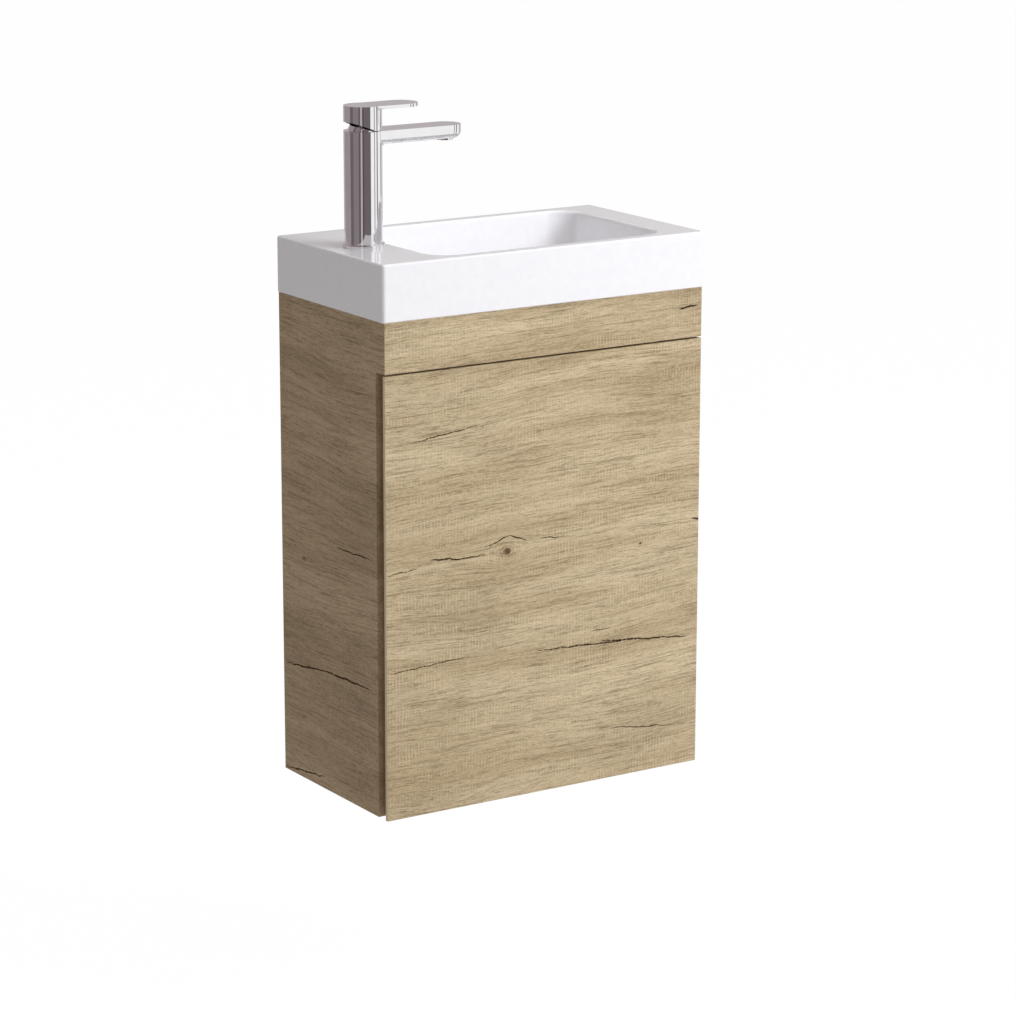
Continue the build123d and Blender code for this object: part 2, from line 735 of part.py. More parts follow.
def door_panel():
    """The door, with a bevelled finger grip along its opening edge and two cup bores."""
    front = FRONT_Y
    plan = [
        (SIDE_X, DOOR_REAR_Y),
        (SIDE_X, front),
        (-SIDE_X, front),
        (-SIDE_X, front + GRIP_EDGE_T),
        (-SIDE_X + GRIP_BEVEL_W, DOOR_REAR_Y),
    ]
    door = plan_prism(plan, BOTTOM_Z, DOOR_TOP_Z)
    for z in HINGES.values():
        door -= cup_drum(z, CUP_R, -OVER, CUP_DEPTH)
        door -= hinge_cup_screw_pair(z)
    return door


def bowl_loft(grow, top, bottom, floor_r):
    """A tapering tub about the bowl's centre, with a round edge at its floor."""
    corner = BOWL_CORNER_R + grow
    draft = grow - BOWL_DRAFT
    mouth = RectangleRounded(BOWL_W + 2 * grow, BOWL_D + 2 * grow, corner)
    floor = RectangleRounded(BOWL_W + 2 * draft, BOWL_D + 2 * draft, corner)
    mouth = Pos(BOWL_X, BOWL_Y, top) * mouth
    floor = Pos(BOWL_X, BOWL_Y, bottom) * floor
    tub = loft([mouth.face(), floor.face()], ruled=True)
    return fillet(tub.edges().group_by(Axis.Z)[0], floor_r)


def basin():
    """The ceramic basin: a skirted slab with a bowl, a tap hole and a waste hole."""
    slab = block(-BASIN_W / 2, BASIN_W / 2, -BASIN_D, 0, TOP_Z, DECK_Z)
    slab = fillet(slab.edges().filter_by(Axis.Z), BASIN_CORNER_R)
    slab = fillet(slab.edges().group_by(Axis.Z)[-1], BASIN_EDGE_R)
    half = BASIN_W / 2 - SKIRT_T
    slab -= block(-half, half, SKIRT_T - BASIN_D, -SKIRT_T, TOP_Z - OVER, DECK_Z - DECK_T)
    shell = bowl_loft(BOWL_WALL, DECK_Z - DECK_T, BOWL_FLOOR_Z - BOWL_FLOOR_T, BOWL_FLOOR_R)
    ware = slab + shell + drum(BOWL_X, BOWL_Y, BOSS_FOOT_Z, BOWL_FLOOR_Z, WASTE_BOSS_R)
    ware -= bowl_loft(0, DECK_Z, BOWL_FLOOR_Z, BOWL_FLOOR_R)
    mouth = [edge for edge in ware.edges().group_by(Axis.Z)[-1] if in_bowl(edge)]
    ware = fillet(mouth, BOWL_LIP_R)
    ware -= drum(TAP_X, TAP_Y, DECK_Z - DECK_T - OVER, DECK_Z + OVER, TAP_HOLE_R)
    ware -= drum(BOWL_X, BOWL_Y, BOSS_FOOT_Z - OVER, BOWL_FLOOR_Z + OVER, WASTE_HOLE_R)
    recess_r = WASTE_FLANGE_R + WASTE_RECESS_GAP
    return ware - drum(BOWL_X, BOWL_Y, BOWL_FLOOR_Z - WASTE_RECESS, BOWL_FLOOR_Z + OVER, recess_r)


def in_bowl(edge):
    """Whether an edge of the basin's top belongs to the bowl's mouth."""
    centre = edge.center()
    near_x = abs(centre.X - BOWL_X) <= BOWL_W / 2 + OVER
    return near_x and abs(centre.Y - BOWL_Y) <= BOWL_D / 2 + OVER


def tap_drum(z0, z1, radius, along=0.0, across=0.0):
    """An upright cylinder of the tap, at heights above the deck."""
    return drum(TAP_X + along, TAP_Y + across, DECK_Z + z0, DECK_Z + z1, radius)


def tap_block(x0, x1, half_w, z0, z1):
    """A box of the tap, along X from its axis, at heights above the deck."""
    return block(TAP_X + x0, TAP_X + x1, TAP_Y - half_w, TAP_Y + half_w, DECK_Z + z0, DECK_Z + z1)


def tap_bar_x(x0, x1, z, radius):
    """A cylinder of the tap along X."""
    return bar_x(TAP_X + x0, TAP_X + x1, TAP_Y, DECK_Z + z, radius)


def at_spout_root(edge):
    """Whether an edge joins the column and the spout's underside."""
    centre = edge.center()
    reach = math.hypot(centre.X - TAP_X, centre.Y - TAP_Y)
    under_z = DECK_Z + TAP_BODY_TOP - SPOUT_T
    near_z = under_z - OVER < centre.Z < under_z + SPOUT_EDGE_R
    return near_z and centre.X > TAP_X and abs(reach - TAP_R) < OVER


def tap_body():
    """The tap's column and flat spout in one casting, with its bores."""
    spout_z = TAP_BODY_TOP - SPOUT_T
    spout = tap_block(0, SPOUT_REACH, SPOUT_HALF_W, spout_z, TAP_BODY_TOP)
    spout += tap_drum(spout_z, TAP_BODY_TOP, SPOUT_HALF_W, SPOUT_REACH)
    under = [e for e in spout.edges().group_by(Axis.Z)[0] if e.center().X > TAP_X + OVER]
    spout = fillet(under, SPOUT_EDGE_R)
    body = tap_drum(TAP_GASKET_T, TAP_BODY_TOP, TAP_R) + spout
    body = fillet([edge for edge in body.edges() if at_spout_root(edge)], SPOUT_ROOT_R)
    body -= tap_drum(BORE_FLOOR, TAP_BODY_TOP + OVER, BORE_R)
    channel_z = TAP_BODY_TOP - SPOUT_T / 2
    body -= tap_bar_x(BORE_R - OVER, SPOUT_REACH, channel_z, CHANNEL_R)
    body -= tap_drum(spout_z - OVER, spout_z + AERATOR_IN, AERATOR_R, SPOUT_REACH)
    for way in SIDES:
        body -= tap_drum(0, TAP_GASKET_T + INLET_L, INLET_R, -INLET_BACK, way * INLET_SPREAD)
        body -= tap_drum(INLET_L, BORE_FLOOR + OVER, INLET_CHANNEL_R, -INLET_BACK, way * INLET_SPREAD)
    return body - tap_fixing_stud()


def tap_base_ring():
    """The chromed ring around the foot of the tap."""
    plate = tap_drum(0, TAP_BASE_H, TAP_BASE_R)
    plate = fillet(plate.edges().group_by(Axis.Z)[-1], TAP_BASE_EDGE_R)
    return plate - tap_drum(-OVER, TAP_BASE_H + OVER, TAP_R)


def tap_base_gasket():
    """The rubber ring between tap and deck."""
    outer = TAP_R - CARTRIDGE_PLAY
    return tap_drum(0, TAP_GASKET_T, outer) - tap_drum(-OVER, TAP_GASKET_T + OVER, TAP_GASKET_R)


def tap_cartridge():
    """The ceramic-disc cartridge in the tap's bore."""
    top = TAP_BODY_TOP - CARTRIDGE_TOP_GAP
    cartridge = tap_drum(BORE_FLOOR, top, BORE_R - CARTRIDGE_PLAY)
    return cartridge - tap_drum(CARRIER_FLOOR, top + OVER, CARRIER_R + CARRIER_PLAY)


def tap_dome_nut():
    """The domed nut over the cartridge, round about the lever's tilt axis."""
    ball = Pos(TAP_X, TAP_Y, DECK_Z + TILT_Z) * Sphere(DOME_R)
    dome = ball & tap_drum(TAP_BODY_TOP, TILT_Z + DOME_R, DOME_R)
    neck_foot = TAP_BODY_TOP - DOME_NECK_H
    dome += tap_drum(neck_foot, TAP_BODY_TOP, BORE_R)
    return dome - tap_drum(neck_foot - OVER, TILT_Z + DOME_R + OVER, DOME_BORE_R)


def tap_aerator():
    """The aerator housing under the spout's end."""
    spout_z = TAP_BODY_TOP - SPOUT_T
    shell = tap_drum(spout_z - AERATOR_PROUD, spout_z + AERATOR_IN, AERATOR_R, SPOUT_REACH)
    bore_foot = spout_z - AERATOR_PROUD - OVER
    return shell - tap_drum(bore_foot, spout_z + AERATOR_IN + OVER, AERATOR_MESH_R, SPOUT_REACH)


def tap_aerator_mesh():
    """The dark insert inside the aerator."""
    spout_z = TAP_BODY_TOP - SPOUT_T
    foot = spout_z - AERATOR_PROUD + AERATOR_MESH_UP
    return tap_drum(foot, spout_z + AERATOR_IN, AERATOR_MESH_R, SPOUT_REACH)


def tap_fixing_stud():
    """The threaded stud that clamps the tap to the deck."""
    return tap_drum(-STUD_L, INLET_L, STUD_R, STUD_OUT)


def horseshoe(top, thickness):
    """A horseshoe washer about the tap hole, open for the supply pipes."""
    plate = tap_drum(top - thickness, top, HORSESHOE_R)
    foot = top - thickness - OVER
    plate -= tap_block(-HORSESHOE_R - OVER, HORSESHOE_OPEN, HORSESHOE_SLOT, foot, top + OVER)
    return plate - tap_fixing_stud()


def hex_nut(x, y, z0, z1, radius, bore):
    """A hexagonal nut standing on its axis."""
    nut = extrude(Pos(x, y, z0) * RegularPolygon(radius, 6), z1 - z0)
    return nut - drum(x, y, z0 - OVER, z1 + OVER, bore)


def tap_fixing_nut():
    """The nut on the tap's stud."""
    top = DECK_Z - DECK_T - HORSESHOE_GASKET_T - HORSESHOE_T
    return hex_nut(TAP_X + STUD_OUT, TAP_Y, top - STUD_NUT_H, top, STUD_NUT_R, STUD_R)


def tap_swivel_carrier():
    """The slotted carrier that turns in the cartridge with the lever."""
    foot = CARRIER_FLOOR + CARRIER_GAP
    carrier = tap_drum(foot, CARRIER_TOP, CARRIER_R)
    slot = SPINDLE_HALF + SPINDLE_PLAY
    carrier -= tap_block(-CARRIER_R - OVER, CARRIER_R + OVER, slot, foot + CARRIER_WEB_T, CARRIER_TOP + OVER)
    return carrier - tap_tilt_pin()


def tap_tilt_pin():
    """The pin that the lever's spindle tilts on."""
    half = CARRIER_R - TILT_PIN_INSET
    return bar_y(TAP_X, TAP_Y - half, TAP_Y + half, DECK_Z + TILT_Z, TILT_PIN_R)


def tap_spindle():
    """The square spindle between the tilt pin and the lever's boss."""
    foot = CARRIER_FLOOR + SPINDLE_FOOT_UP
    spindle = tap_block(-SPINDLE_HALF, SPINDLE_HALF, SPINDLE_HALF, foot, LEVER_CEILING - SPINDLE_TOP_GAP)
    hole = TILT_PIN_R + HINGE_PIN_PLAY
    return spindle - bar_y(TAP_X, TAP_Y - CARRIER_R, TAP_Y + CARRIER_R, DECK_Z + TILT_Z, hole)


def tap_lever():
    """The lever: a round head cut back at the rear, with a flat bar over the spout."""
    foot = TAP_BODY_TOP + LEVER_GAP
    lever = tap_drum(foot, LEVER_TOP, TAP_R)
    bar_z = LEVER_TOP - LEVER_BAR_T
    lever += tap_block(0, LEVER_REACH, LEVER_HALF_W, bar_z, LEVER_TOP)
    lever += tap_drum(bar_z, LEVER_TOP, LEVER_HALF_W, LEVER_REACH)
    back = -TAP_R - OVER
    rise = LEVER_SLOPE * (LEVER_RIDGE - back)
    outline = [(LEVER_RIDGE, foot), (back, foot + rise), (back, foot - OVER), (LEVER_RIDGE, foot - OVER)]
    points = [(TAP_X + x, DECK_Z + z) for x, z in outline]
    lever -= prism(points, Plane.XZ, -TAP_Y - 2 * TAP_R, 4 * TAP_R)
    lever -= tap_drum(foot - OVER, LEVER_CEILING, LEVER_CAVITY_R)
    boss_z = LEVER_CEILING - BOSS_H
    lever += tap_drum(boss_z, LEVER_CEILING, BOSS_R)
    lever += tap_block(0, LEVER_CAVITY_R, BOSS_RIB_HALF_W, boss_z, LEVER_CEILING) & tap_drum(
        boss_z, LEVER_CEILING, LEVER_CAVITY_R
    )
    socket = SPINDLE_HALF
    lever -= tap_block(-socket, socket, socket, boss_z - OVER, LEVER_CEILING - SPINDLE_TOP_GAP)
    lever -= tap_bar_x(SPINDLE_HALF, LEVER_CAVITY_R, boss_z + BOSS_H / 2, GRUB_R)
    return lever - tap_bar_x(LEVER_CAVITY_R - INDICATOR_ROOT, TAP_R + OVER, boss_z + BOSS_H / 2, INDICATOR_R)


def tap_grub_screw():
    """The set screw that holds the lever on its spindle."""
    z = LEVER_CEILING - BOSS_H / 2
    return tap_bar_x(SPINDLE_HALF, SPINDLE_HALF + GRUB_L, z, GRUB_R)


def tap_indicator_plug():
    """The small plug over the set screw's hole."""
    z = LEVER_CEILING - BOSS_H / 2
    plug = tap_bar_x(LEVER_CAVITY_R - INDICATOR_ROOT, TAP_R + OVER, z, INDICATOR_R)
    return plug & tap_drum(LEVER_CEILING - BOSS_H, LEVER_CEILING, TAP_R + INDICATOR_PROUD)


def waste_ring(z0, z1, outer, inner):
    """A ring about the waste's axis."""
    return ring(BOWL_X, BOWL_Y, z0, z1, outer, inner)


def waste_body():
    """The waste's flange and tube."""
    flange = waste_ring(FLANGE_TOP_Z - WASTE_FLANGE_T, FLANGE_TOP_Z, WASTE_FLANGE_R, WASTE_BORE_R)
    return flange + waste_ring(TUBE_END_Z, FLANGE_TOP_Z, WASTE_TUBE_R, WASTE_BORE_R)


def waste_gaskets():
    """The thin gasket under the flange and the thick one under the basin."""
    seat = BOWL_FLOOR_Z - WASTE_RECESS
    upper = waste_ring(seat, seat + WASTE_GASKET_T, WASTE_FLANGE_R, WASTE_TUBE_R)
    lower = waste_ring(BOSS_FOOT_Z - WASTE_SEAL_T, BOSS_FOOT_Z, WASTE_FLANGE_R, WASTE_TUBE_R)
    return group([upper, lower])


def waste_locknut():
    """The flanged nut under the basin."""
    top = BOSS_FOOT_Z - WASTE_SEAL_T
    return hex_nut(BOWL_X, BOWL_Y, top - LOCKNUT_H, top, LOCKNUT_R, WASTE_TUBE_R)


def plug_guide():
    """The spider in the waste that guides the plug's stem."""
    top = FLANGE_TOP_Z - GUIDE_DROP
    spider = drum(BOWL_X, BOWL_Y, top - GUIDE_H, top, GUIDE_HUB_R)
    reach = WASTE_BORE_R
    for turn in (0, 120, 240):
        rib = Pos(reach / 2, 0, 0) * Box(reach, GUIDE_RIB_T, GUIDE_H)
        spider += Pos(BOWL_X, BOWL_Y, top - GUIDE_H / 2) * Rot(0, 0, turn) * rib
    spider &= drum(BOWL_X, BOWL_Y, top - GUIDE_H, top, WASTE_BORE_R)
    return spider - drum(BOWL_X, BOWL_Y, top - GUIDE_H - OVER, top + OVER, STEM_R + STEM_PLAY)


def plug_foot_z():
    """The underside of the plug's cap when it is down."""
    return FLANGE_TOP_Z + PLUG_SEAT_GAP + PLUG_SEAL_T


def waste_plug_cap():
    """The pressed cap that closes the waste."""
    foot = plug_foot_z()
    cap = drum(BOWL_X, BOWL_Y, foot, foot + PLUG_T, PLUG_R)
    return fillet(cap.edges().group_by(Axis.Z)[-1], PLUG_T / 2)


def waste_plug_stem():
    """The stem under the cap."""
    foot = plug_foot_z()
    return drum(BOWL_X, BOWL_Y, foot - STEM_L, foot, STEM_R)


def waste_plug_seal():
    """The rubber ring under the cap."""
    foot = plug_foot_z()
    return waste_ring(foot - PLUG_SEAL_T, foot, PLUG_SEAL_R, WASTE_BORE_R)


def trap_inlet_nut():
    """The slip nut between waste and trap."""
    foot = TRAP_TOP_Z
    return ring(BOWL_X, BOWL_Y, foot, foot + TRAP_NUT_H, TRAP_NUT_R, WASTE_TUBE_R)


def outlet_bar(y0, y1, radius):
    """A cylinder along the outlet's axis."""
    return bar_y(BOWL_X, y0, y1, OUTLET_Z, radius)


def trap_body():
    """The bottle trap's body with its inlet collar, dip tube and side outlet."""
    body = drum(BOWL_X, BOWL_Y, TRAP_FOOT_Z, TRAP_TOP_Z, TRAP_R)
    socket_end = BOWL_Y + TRAP_R + OUTLET_INSERT
    body += outlet_bar(BOWL_Y, socket_end, OUTLET_R + OUTLET_WALL)
    body -= drum(BOWL_X, BOWL_Y, TRAP_FOOT_Z - OVER, TRAP_TOP_Z - TRAP_ROOF_T, TRAP_R - TRAP_WALL)
    body -= outlet_bar(BOWL_Y + TRAP_R, socket_end + OVER, OUTLET_R)
    body -= outlet_bar(BOWL_Y, BOWL_Y + TRAP_R + OVER, OUTLET_R - OUTLET_WALL)
    body += waste_ring(TRAP_TOP_Z, TUBE_END_Z, WASTE_TUBE_R, WASTE_BORE_R)
    dip_foot = TRAP_FOOT_Z + DIP_SHORT
    body += drum(BOWL_X, BOWL_Y, dip_foot, TRAP_TOP_Z, DIP_R)
    bore = DIP_R - DIP_WALL
    return body - drum(BOWL_X, BOWL_Y, dip_foot - OVER, TRAP_TOP_Z + OVER, bore)


def trap_cup():
    """The cup that unscrews from the trap's foot."""
    foot = TRAP_FOOT_Z - TRAP_CUP_H
    cup = drum(BOWL_X, BOWL_Y, foot, TRAP_FOOT_Z, TRAP_CUP_R)
    return cup - drum(BOWL_X, BOWL_Y, foot + TRAP_CUP_FLOOR, TRAP_FOOT_Z + OVER, TRAP_R - TRAP_WALL)


def trap_outlet_nut():
    """The slip nut on the trap's side outlet."""
    start = BOWL_Y + TRAP_R + OUTLET_NUT_GAP
    nut = outlet_bar(start, start + OUTLET_NUT_L, OUTLET_NUT_R)
    nut -= outlet_bar(start - OVER, start + OUTLET_NUT_L + OVER, OUTLET_R)
    return nut - outlet_bar(start - OVER, BOWL_Y + TRAP_R + OUTLET_INSERT, OUTLET_R + OUTLET_WALL)


def outlet_pipe():
    """The pipe from the trap to the wall, full size over its last stretch."""
    start = BOWL_Y + TRAP_R
    pipe = outlet_bar(start, 0, OUTLET_R - OUTLET_STEP) + outlet_bar(-OUTLET_END_L, 0, OUTLET_R)
    return pipe - outlet_bar(start - OVER, OVER, OUTLET_R - OUTLET_WALL)


def carcass_nodes():
    """The boards and what joins them."""
    pegs = (dowels(), cam_bolts(), cam_locks())
    plates = [hinge_plate_screw_pair(z) for z in HINGES.values()]
    side_fixings = (*pegs, shelf_pins(), hanger_screws(), corner_block_screws(), *plates)
    nodes = {
        "side_panel_left": side_panel(-1),
        "side_panel_right": side_panel(1),
        "bottom_panel": bottom_panel(),
        "rear_rail_upper": rear_rail_upper(),
        "rear_rail_lower": rear_rail_lower(),
        "apron_panel": apron_panel(),
        "corner_blocks": corner_blocks(),
    }
    for name in nodes:
        for fixing in side_fixings:
            nodes[name] = nodes[name] - fixing
    nodes["shelf"] = shelf()
    nodes["shelf_pins"] = shelf_pins()
    nodes["assembly_dowels"] = dowels()
    nodes["cam_bolts"] = cam_bolts()
    nodes["cam_locks"] = cam_locks() - cam_bolts()
    nodes["carcass_screws"] = group([corner_block_screws(), hanger_screws()])
    nodes["door_bumpers"] = door_bumpers()
    return nodes


def hanger_nodes():
    """What hangs the cabinet on the wall."""
    return {
        "wall_plates": group([wall_plate(side) for side in SIDES]),
        "hangers": group([hanger(side) for side in SIDES]),
    }


def door_nodes():
    """The door and its two concealed hinges."""
    nodes = {"door_panel": door_panel()}
    for name, z in HINGES.items():
        nodes[f"hinge_cup_{name}"] = hinge_cup(z)
        nodes[f"hinge_link_{name}"] = hinge_link(z)
        nodes[f"hinge_arm_{name}"] = hinge_arm(z)
    heights = HINGES.values()
    nodes["hinge_plates"] = group([hinge_plate(z) for z in heights])
    cup_end = (CUP_PIVOT_IN, CUP_PIVOT_OUT)
    arm_end = (ARM_PIVOT_IN, ARM_PIVOT_OUT)
    nodes["hinge_cup_pins"] = group([hinge_pin(*cup_end, z, cup_pin_half(), HINGE_PIN_R) for z in heights])
    nodes["hinge_arm_pins"] = group([hinge_pin(*arm_end, z, arm_pin_half(), HINGE_PIN_R) for z in heights])
    nodes["hinge_cup_screws"] = group([hinge_cup_screw_pair(z) for z in heights])
    plate_screws = [hinge_plate_screw_pair(z) for z in heights]
    nodes["hinge_plate_screws"] = group(plate_screws + [hinge_arm_screw(z) for z in heights])
    return nodes


def tap_nodes():
    """The single-lever tap and its fixing."""
    deck_foot = -DECK_T
    return {
        "tap_body": tap_body(),
        "tap_base_ring": tap_base_ring(),
        "tap_base_gasket": tap_base_gasket(),
        "tap_cartridge": tap_cartridge(),
        "tap_dome_nut": tap_dome_nut(),
        "tap_aerator": tap_aerator(),
        "tap_aerator_mesh": tap_aerator_mesh(),
        "tap_fixing_stud": tap_fixing_stud(),
        "tap_clamp_gasket": horseshoe(deck_foot, HORSESHOE_GASKET_T),
        "tap_clamp_plate": horseshoe(deck_foot - HORSESHOE_GASKET_T, HORSESHOE_T),
        "tap_fixing_nut": tap_fixing_nut(),
        "tap_swivel_carrier": tap_swivel_carrier(),
        "tap_tilt_pin": tap_tilt_pin(),
        "tap_spindle": tap_spindle(),
        "tap_lever": tap_lever(),
        "tap_grub_screw": tap_grub_screw(),
        "tap_indicator_plug": tap_indicator_plug(),
    }


def waste_nodes():
    """The click-clack waste, the bottle trap and the pipe to the wall."""
    return {
        "waste_body": waste_body(),
        "waste_gaskets": waste_gaskets(),
        "waste_locknut": waste_locknut(),
        "waste_plug_guide": plug_guide(),
        "waste_plug_cap": waste_plug_cap(),
        "waste_plug_stem": waste_plug_stem(),
        "waste_plug_seal": waste_plug_seal(),
        "trap_inlet_nut": trap_inlet_nut(),
        "trap_body": trap_body(),
        "trap_cup": trap_cup(),
        "trap_outlet_nut": trap_outlet_nut(),
        "outlet_pipe": outlet_pipe(),
    }


def main():
    """Write one STEP file per node."""
    os.makedirs("parts", exist_ok=True)
    nodes = {"basin": basin()}
    nodes.update(carcass_nodes())
    nodes.update(hanger_nodes())
    nodes.update(door_nodes())
    nodes.update(tap_nodes())
    nodes.update(waste_nodes())
    for name, shape in nodes.items():
        export_step(shape, f"parts/{name}.step")
    print(len(nodes), "nodes")


main()
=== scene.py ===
import json
import logging
import math
from dataclasses import dataclass, field
from enum import Enum

import bmesh
import bpy
from mathutils import Matrix, Vector

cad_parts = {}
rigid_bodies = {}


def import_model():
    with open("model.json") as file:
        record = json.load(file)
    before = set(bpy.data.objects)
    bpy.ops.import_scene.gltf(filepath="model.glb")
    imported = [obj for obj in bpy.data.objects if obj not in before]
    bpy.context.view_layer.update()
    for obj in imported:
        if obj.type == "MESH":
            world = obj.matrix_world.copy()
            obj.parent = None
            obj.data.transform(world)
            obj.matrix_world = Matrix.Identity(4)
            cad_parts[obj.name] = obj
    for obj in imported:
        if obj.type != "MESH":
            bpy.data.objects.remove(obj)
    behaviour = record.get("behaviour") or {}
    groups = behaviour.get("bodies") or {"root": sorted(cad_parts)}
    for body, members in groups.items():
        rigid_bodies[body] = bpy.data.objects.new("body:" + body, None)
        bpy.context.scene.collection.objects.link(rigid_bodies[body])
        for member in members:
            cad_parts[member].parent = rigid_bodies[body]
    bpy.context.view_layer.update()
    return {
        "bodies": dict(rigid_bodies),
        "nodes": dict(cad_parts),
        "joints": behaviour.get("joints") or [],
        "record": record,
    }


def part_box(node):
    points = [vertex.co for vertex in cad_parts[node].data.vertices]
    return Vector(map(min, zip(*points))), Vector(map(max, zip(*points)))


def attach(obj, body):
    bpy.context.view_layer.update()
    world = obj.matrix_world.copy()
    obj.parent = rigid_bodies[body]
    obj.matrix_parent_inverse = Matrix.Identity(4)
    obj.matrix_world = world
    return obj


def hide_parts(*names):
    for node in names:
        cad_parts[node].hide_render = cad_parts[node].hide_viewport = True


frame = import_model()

logging.basicConfig(level=logging.INFO, format="%(name)s: %(message)s")
LOG = logging.getLogger("vanity")
MM = 0.001
PREFIXES = ("", "ShaderNode", "GeometryNode", "FunctionNode")


def metres(*values: float) -> Vector:
    """A point given in millimetres of the row frame."""
    return Vector([value * MM for value in values])


def linear(code: str) -> tuple[float, float, float, float]:
    """Turn an sRGB hex colour into the linear colour that a shader takes.

    Args:
        code: six hex digits, with or without a leading hash.

    Returns:
        Linear red, green, blue and an alpha of 1.
    """
    code = code.lstrip("#")
    parts = [int(code[i:i + 2], 16) / 255 for i in (0, 2, 4)]
    curve = [p / 12.92 if p <= 0.04045 else ((p + 0.055) / 1.055) ** 2.4 for p in parts]
    return (*curve, 1.0)


class Signal:
    """One output socket of a node tree that can be calculated with."""

    def __init__(self, graph: "Graph", socket: bpy.types.NodeSocket) -> None:
        """Keep the tree and the socket."""
        self.graph = graph
        self.socket = socket

    def calc(self, operation: str, *others: object, **props: object) -> "Signal":
        """Put a math node after this signal.

        Args:
            operation: the math node's operation.
            others: further operands, constants or signals.
            props: other settings of the node.

        Returns:
            The math node's result.
        """
        values = dict(enumerate((self, *others)))
        return self.graph.add("Math", values, operation=operation, **props)

    def __add__(self, other: object) -> "Signal":
        """This plus other."""
        return self.calc("ADD", other)

    def __sub__(self, other: object) -> "Signal":
        """This minus other."""
        return self.calc("SUBTRACT", other)

    def __mul__(self, other: object) -> "Signal":
        """This times other."""
        return self.calc("MULTIPLY", other)

    def __truediv__(self, other: object) -> "Signal":
        """This divided by other."""
        return self.calc("DIVIDE", other)

    def ramp(self, low: float, high: float, start: float = 0.0, end: float = 1.0) -> "Signal":
        """A smooth step from start at low to end at high."""
        values = {"Value": self, "From Min": low, "From Max": high, "To Min": start, "To Max": end}
        return self.graph.add("MapRange", values, interpolation_type="SMOOTHSTEP")


class Graph:
    """A node tree under construction."""

    def __init__(self, tree: bpy.types.NodeTree) -> None:
        """Start from an empty tree."""
        self.tree = tree
        tree.nodes.clear()

    def add(self, kind: str, values: dict | None = None, out: int | str = 0, **props: object) -> Signal:
        """Add one node, set it up and feed it.

        Args:
            kind: the node's type, without its prefix.
            values: input name or number to a constant or a Signal.
            out: which output to give back.
            props: the node's own settings.

        Returns:
            The chosen output, or an empty signal for a node that has none.
        """
        name = next(p + kind for p in PREFIXES if hasattr(bpy.types, p + kind))
        node = self.tree.nodes.new(name)
        for key, value in props.items():
            setattr(node, key, value)
        for key, value in (values or {}).items():
            if isinstance(value, Signal):
                self.tree.links.new(value.socket, node.inputs[key])
            else:
                node.inputs[key].default_value = value
        return Signal(self, node.outputs[out] if node.outputs else None)

    def noise(self, vector: Signal, scale: float, detail: float = 2.0, rough: float = 0.5) -> Signal:
        """Fractal noise from 0 to 1 over a position."""
        return self.add("TexNoise", {"Vector": vector, "Scale": scale, "Detail": detail, "Roughness": rough})

    def point(self, x: object, y: object, z: object) -> Signal:
        """Three numbers as one position."""
        return self.add("CombineXYZ", {0: x, 1: y, 2: z})

    def mix(self, factor: object, first: object, second: object) -> Signal:
        """A colour between two colours."""
        return self.add("Mix", {"Factor": factor, 6: first, 7: second}, out=2, data_type="RGBA")

    def steps(self, value: Signal, stops: tuple[tuple[float, str], ...], blur: float) -> Signal:
        """Bands of colour over a value from 0 to 1.

        Args:
            value: what the bands are read by.
            stops: where each band starts, and its sRGB colour.
            blur: how wide the change from one band to the next is.

        Returns:
            The band's colour.
        """
        bands = self.add("ValToRGB", {"Fac": value})
        ramp = bands.socket.node.color_ramp
        first, last = ramp.elements
        first.position, first.color = 0.0, linear(stops[0][1])
        last.position, last.color = 1.0, linear(stops[-1][1])
        for (_, before), (start, after) in zip(stops, stops[1:]):
            ramp.elements.new(start - blur / 2).color = linear(before)
            ramp.elements.new(start + blur / 2).color = linear(after)
        return bands


def new_material(name: str) -> tuple[bpy.types.Material, Graph]:
    """An empty node material and its graph."""
    material = bpy.data.materials.new(name)
    material.use_nodes = True
    return material, Graph(material.node_tree)


def place_mm(graph: Graph) -> tuple[Signal, Signal, Signal, Signal]:
    """Object coordinates in real millimetres.

    Args:
        graph: the material's graph.

    Returns:
        The position, and its x, y and z.
    """
    where = graph.add("TexCoord", out="Object")
    scaled = graph.add("VectorMath", {0: where, "Scale": 1 / MM}, operation="SCALE")
    axes = [graph.add("SeparateXYZ", {0: scaled}, out=i) for i in range(3)]
    return (scaled, *axes)


def surface(graph: Graph, height: Signal | None, depth_mm: float, **inputs: object) -> None:
    """Close a material with a principled shader and an optional bump.

    Args:
        graph: the material's graph.
        height: relief from 0 to 1, or None.
        depth_mm: the relief's real depth.
        inputs: principled inputs, with _ in place of spaces.
    """
    values = {key.replace("_", " "): value for key, value in inputs.items()}
    if height is not None:
        values["Normal"] = graph.add("Bump", {"Height": height, "Distance": depth_mm * MM, "Strength": 1.0})
    shader = graph.add("BsdfPrincipled", values)
    graph.add("OutputMaterial", {"Surface": shader})


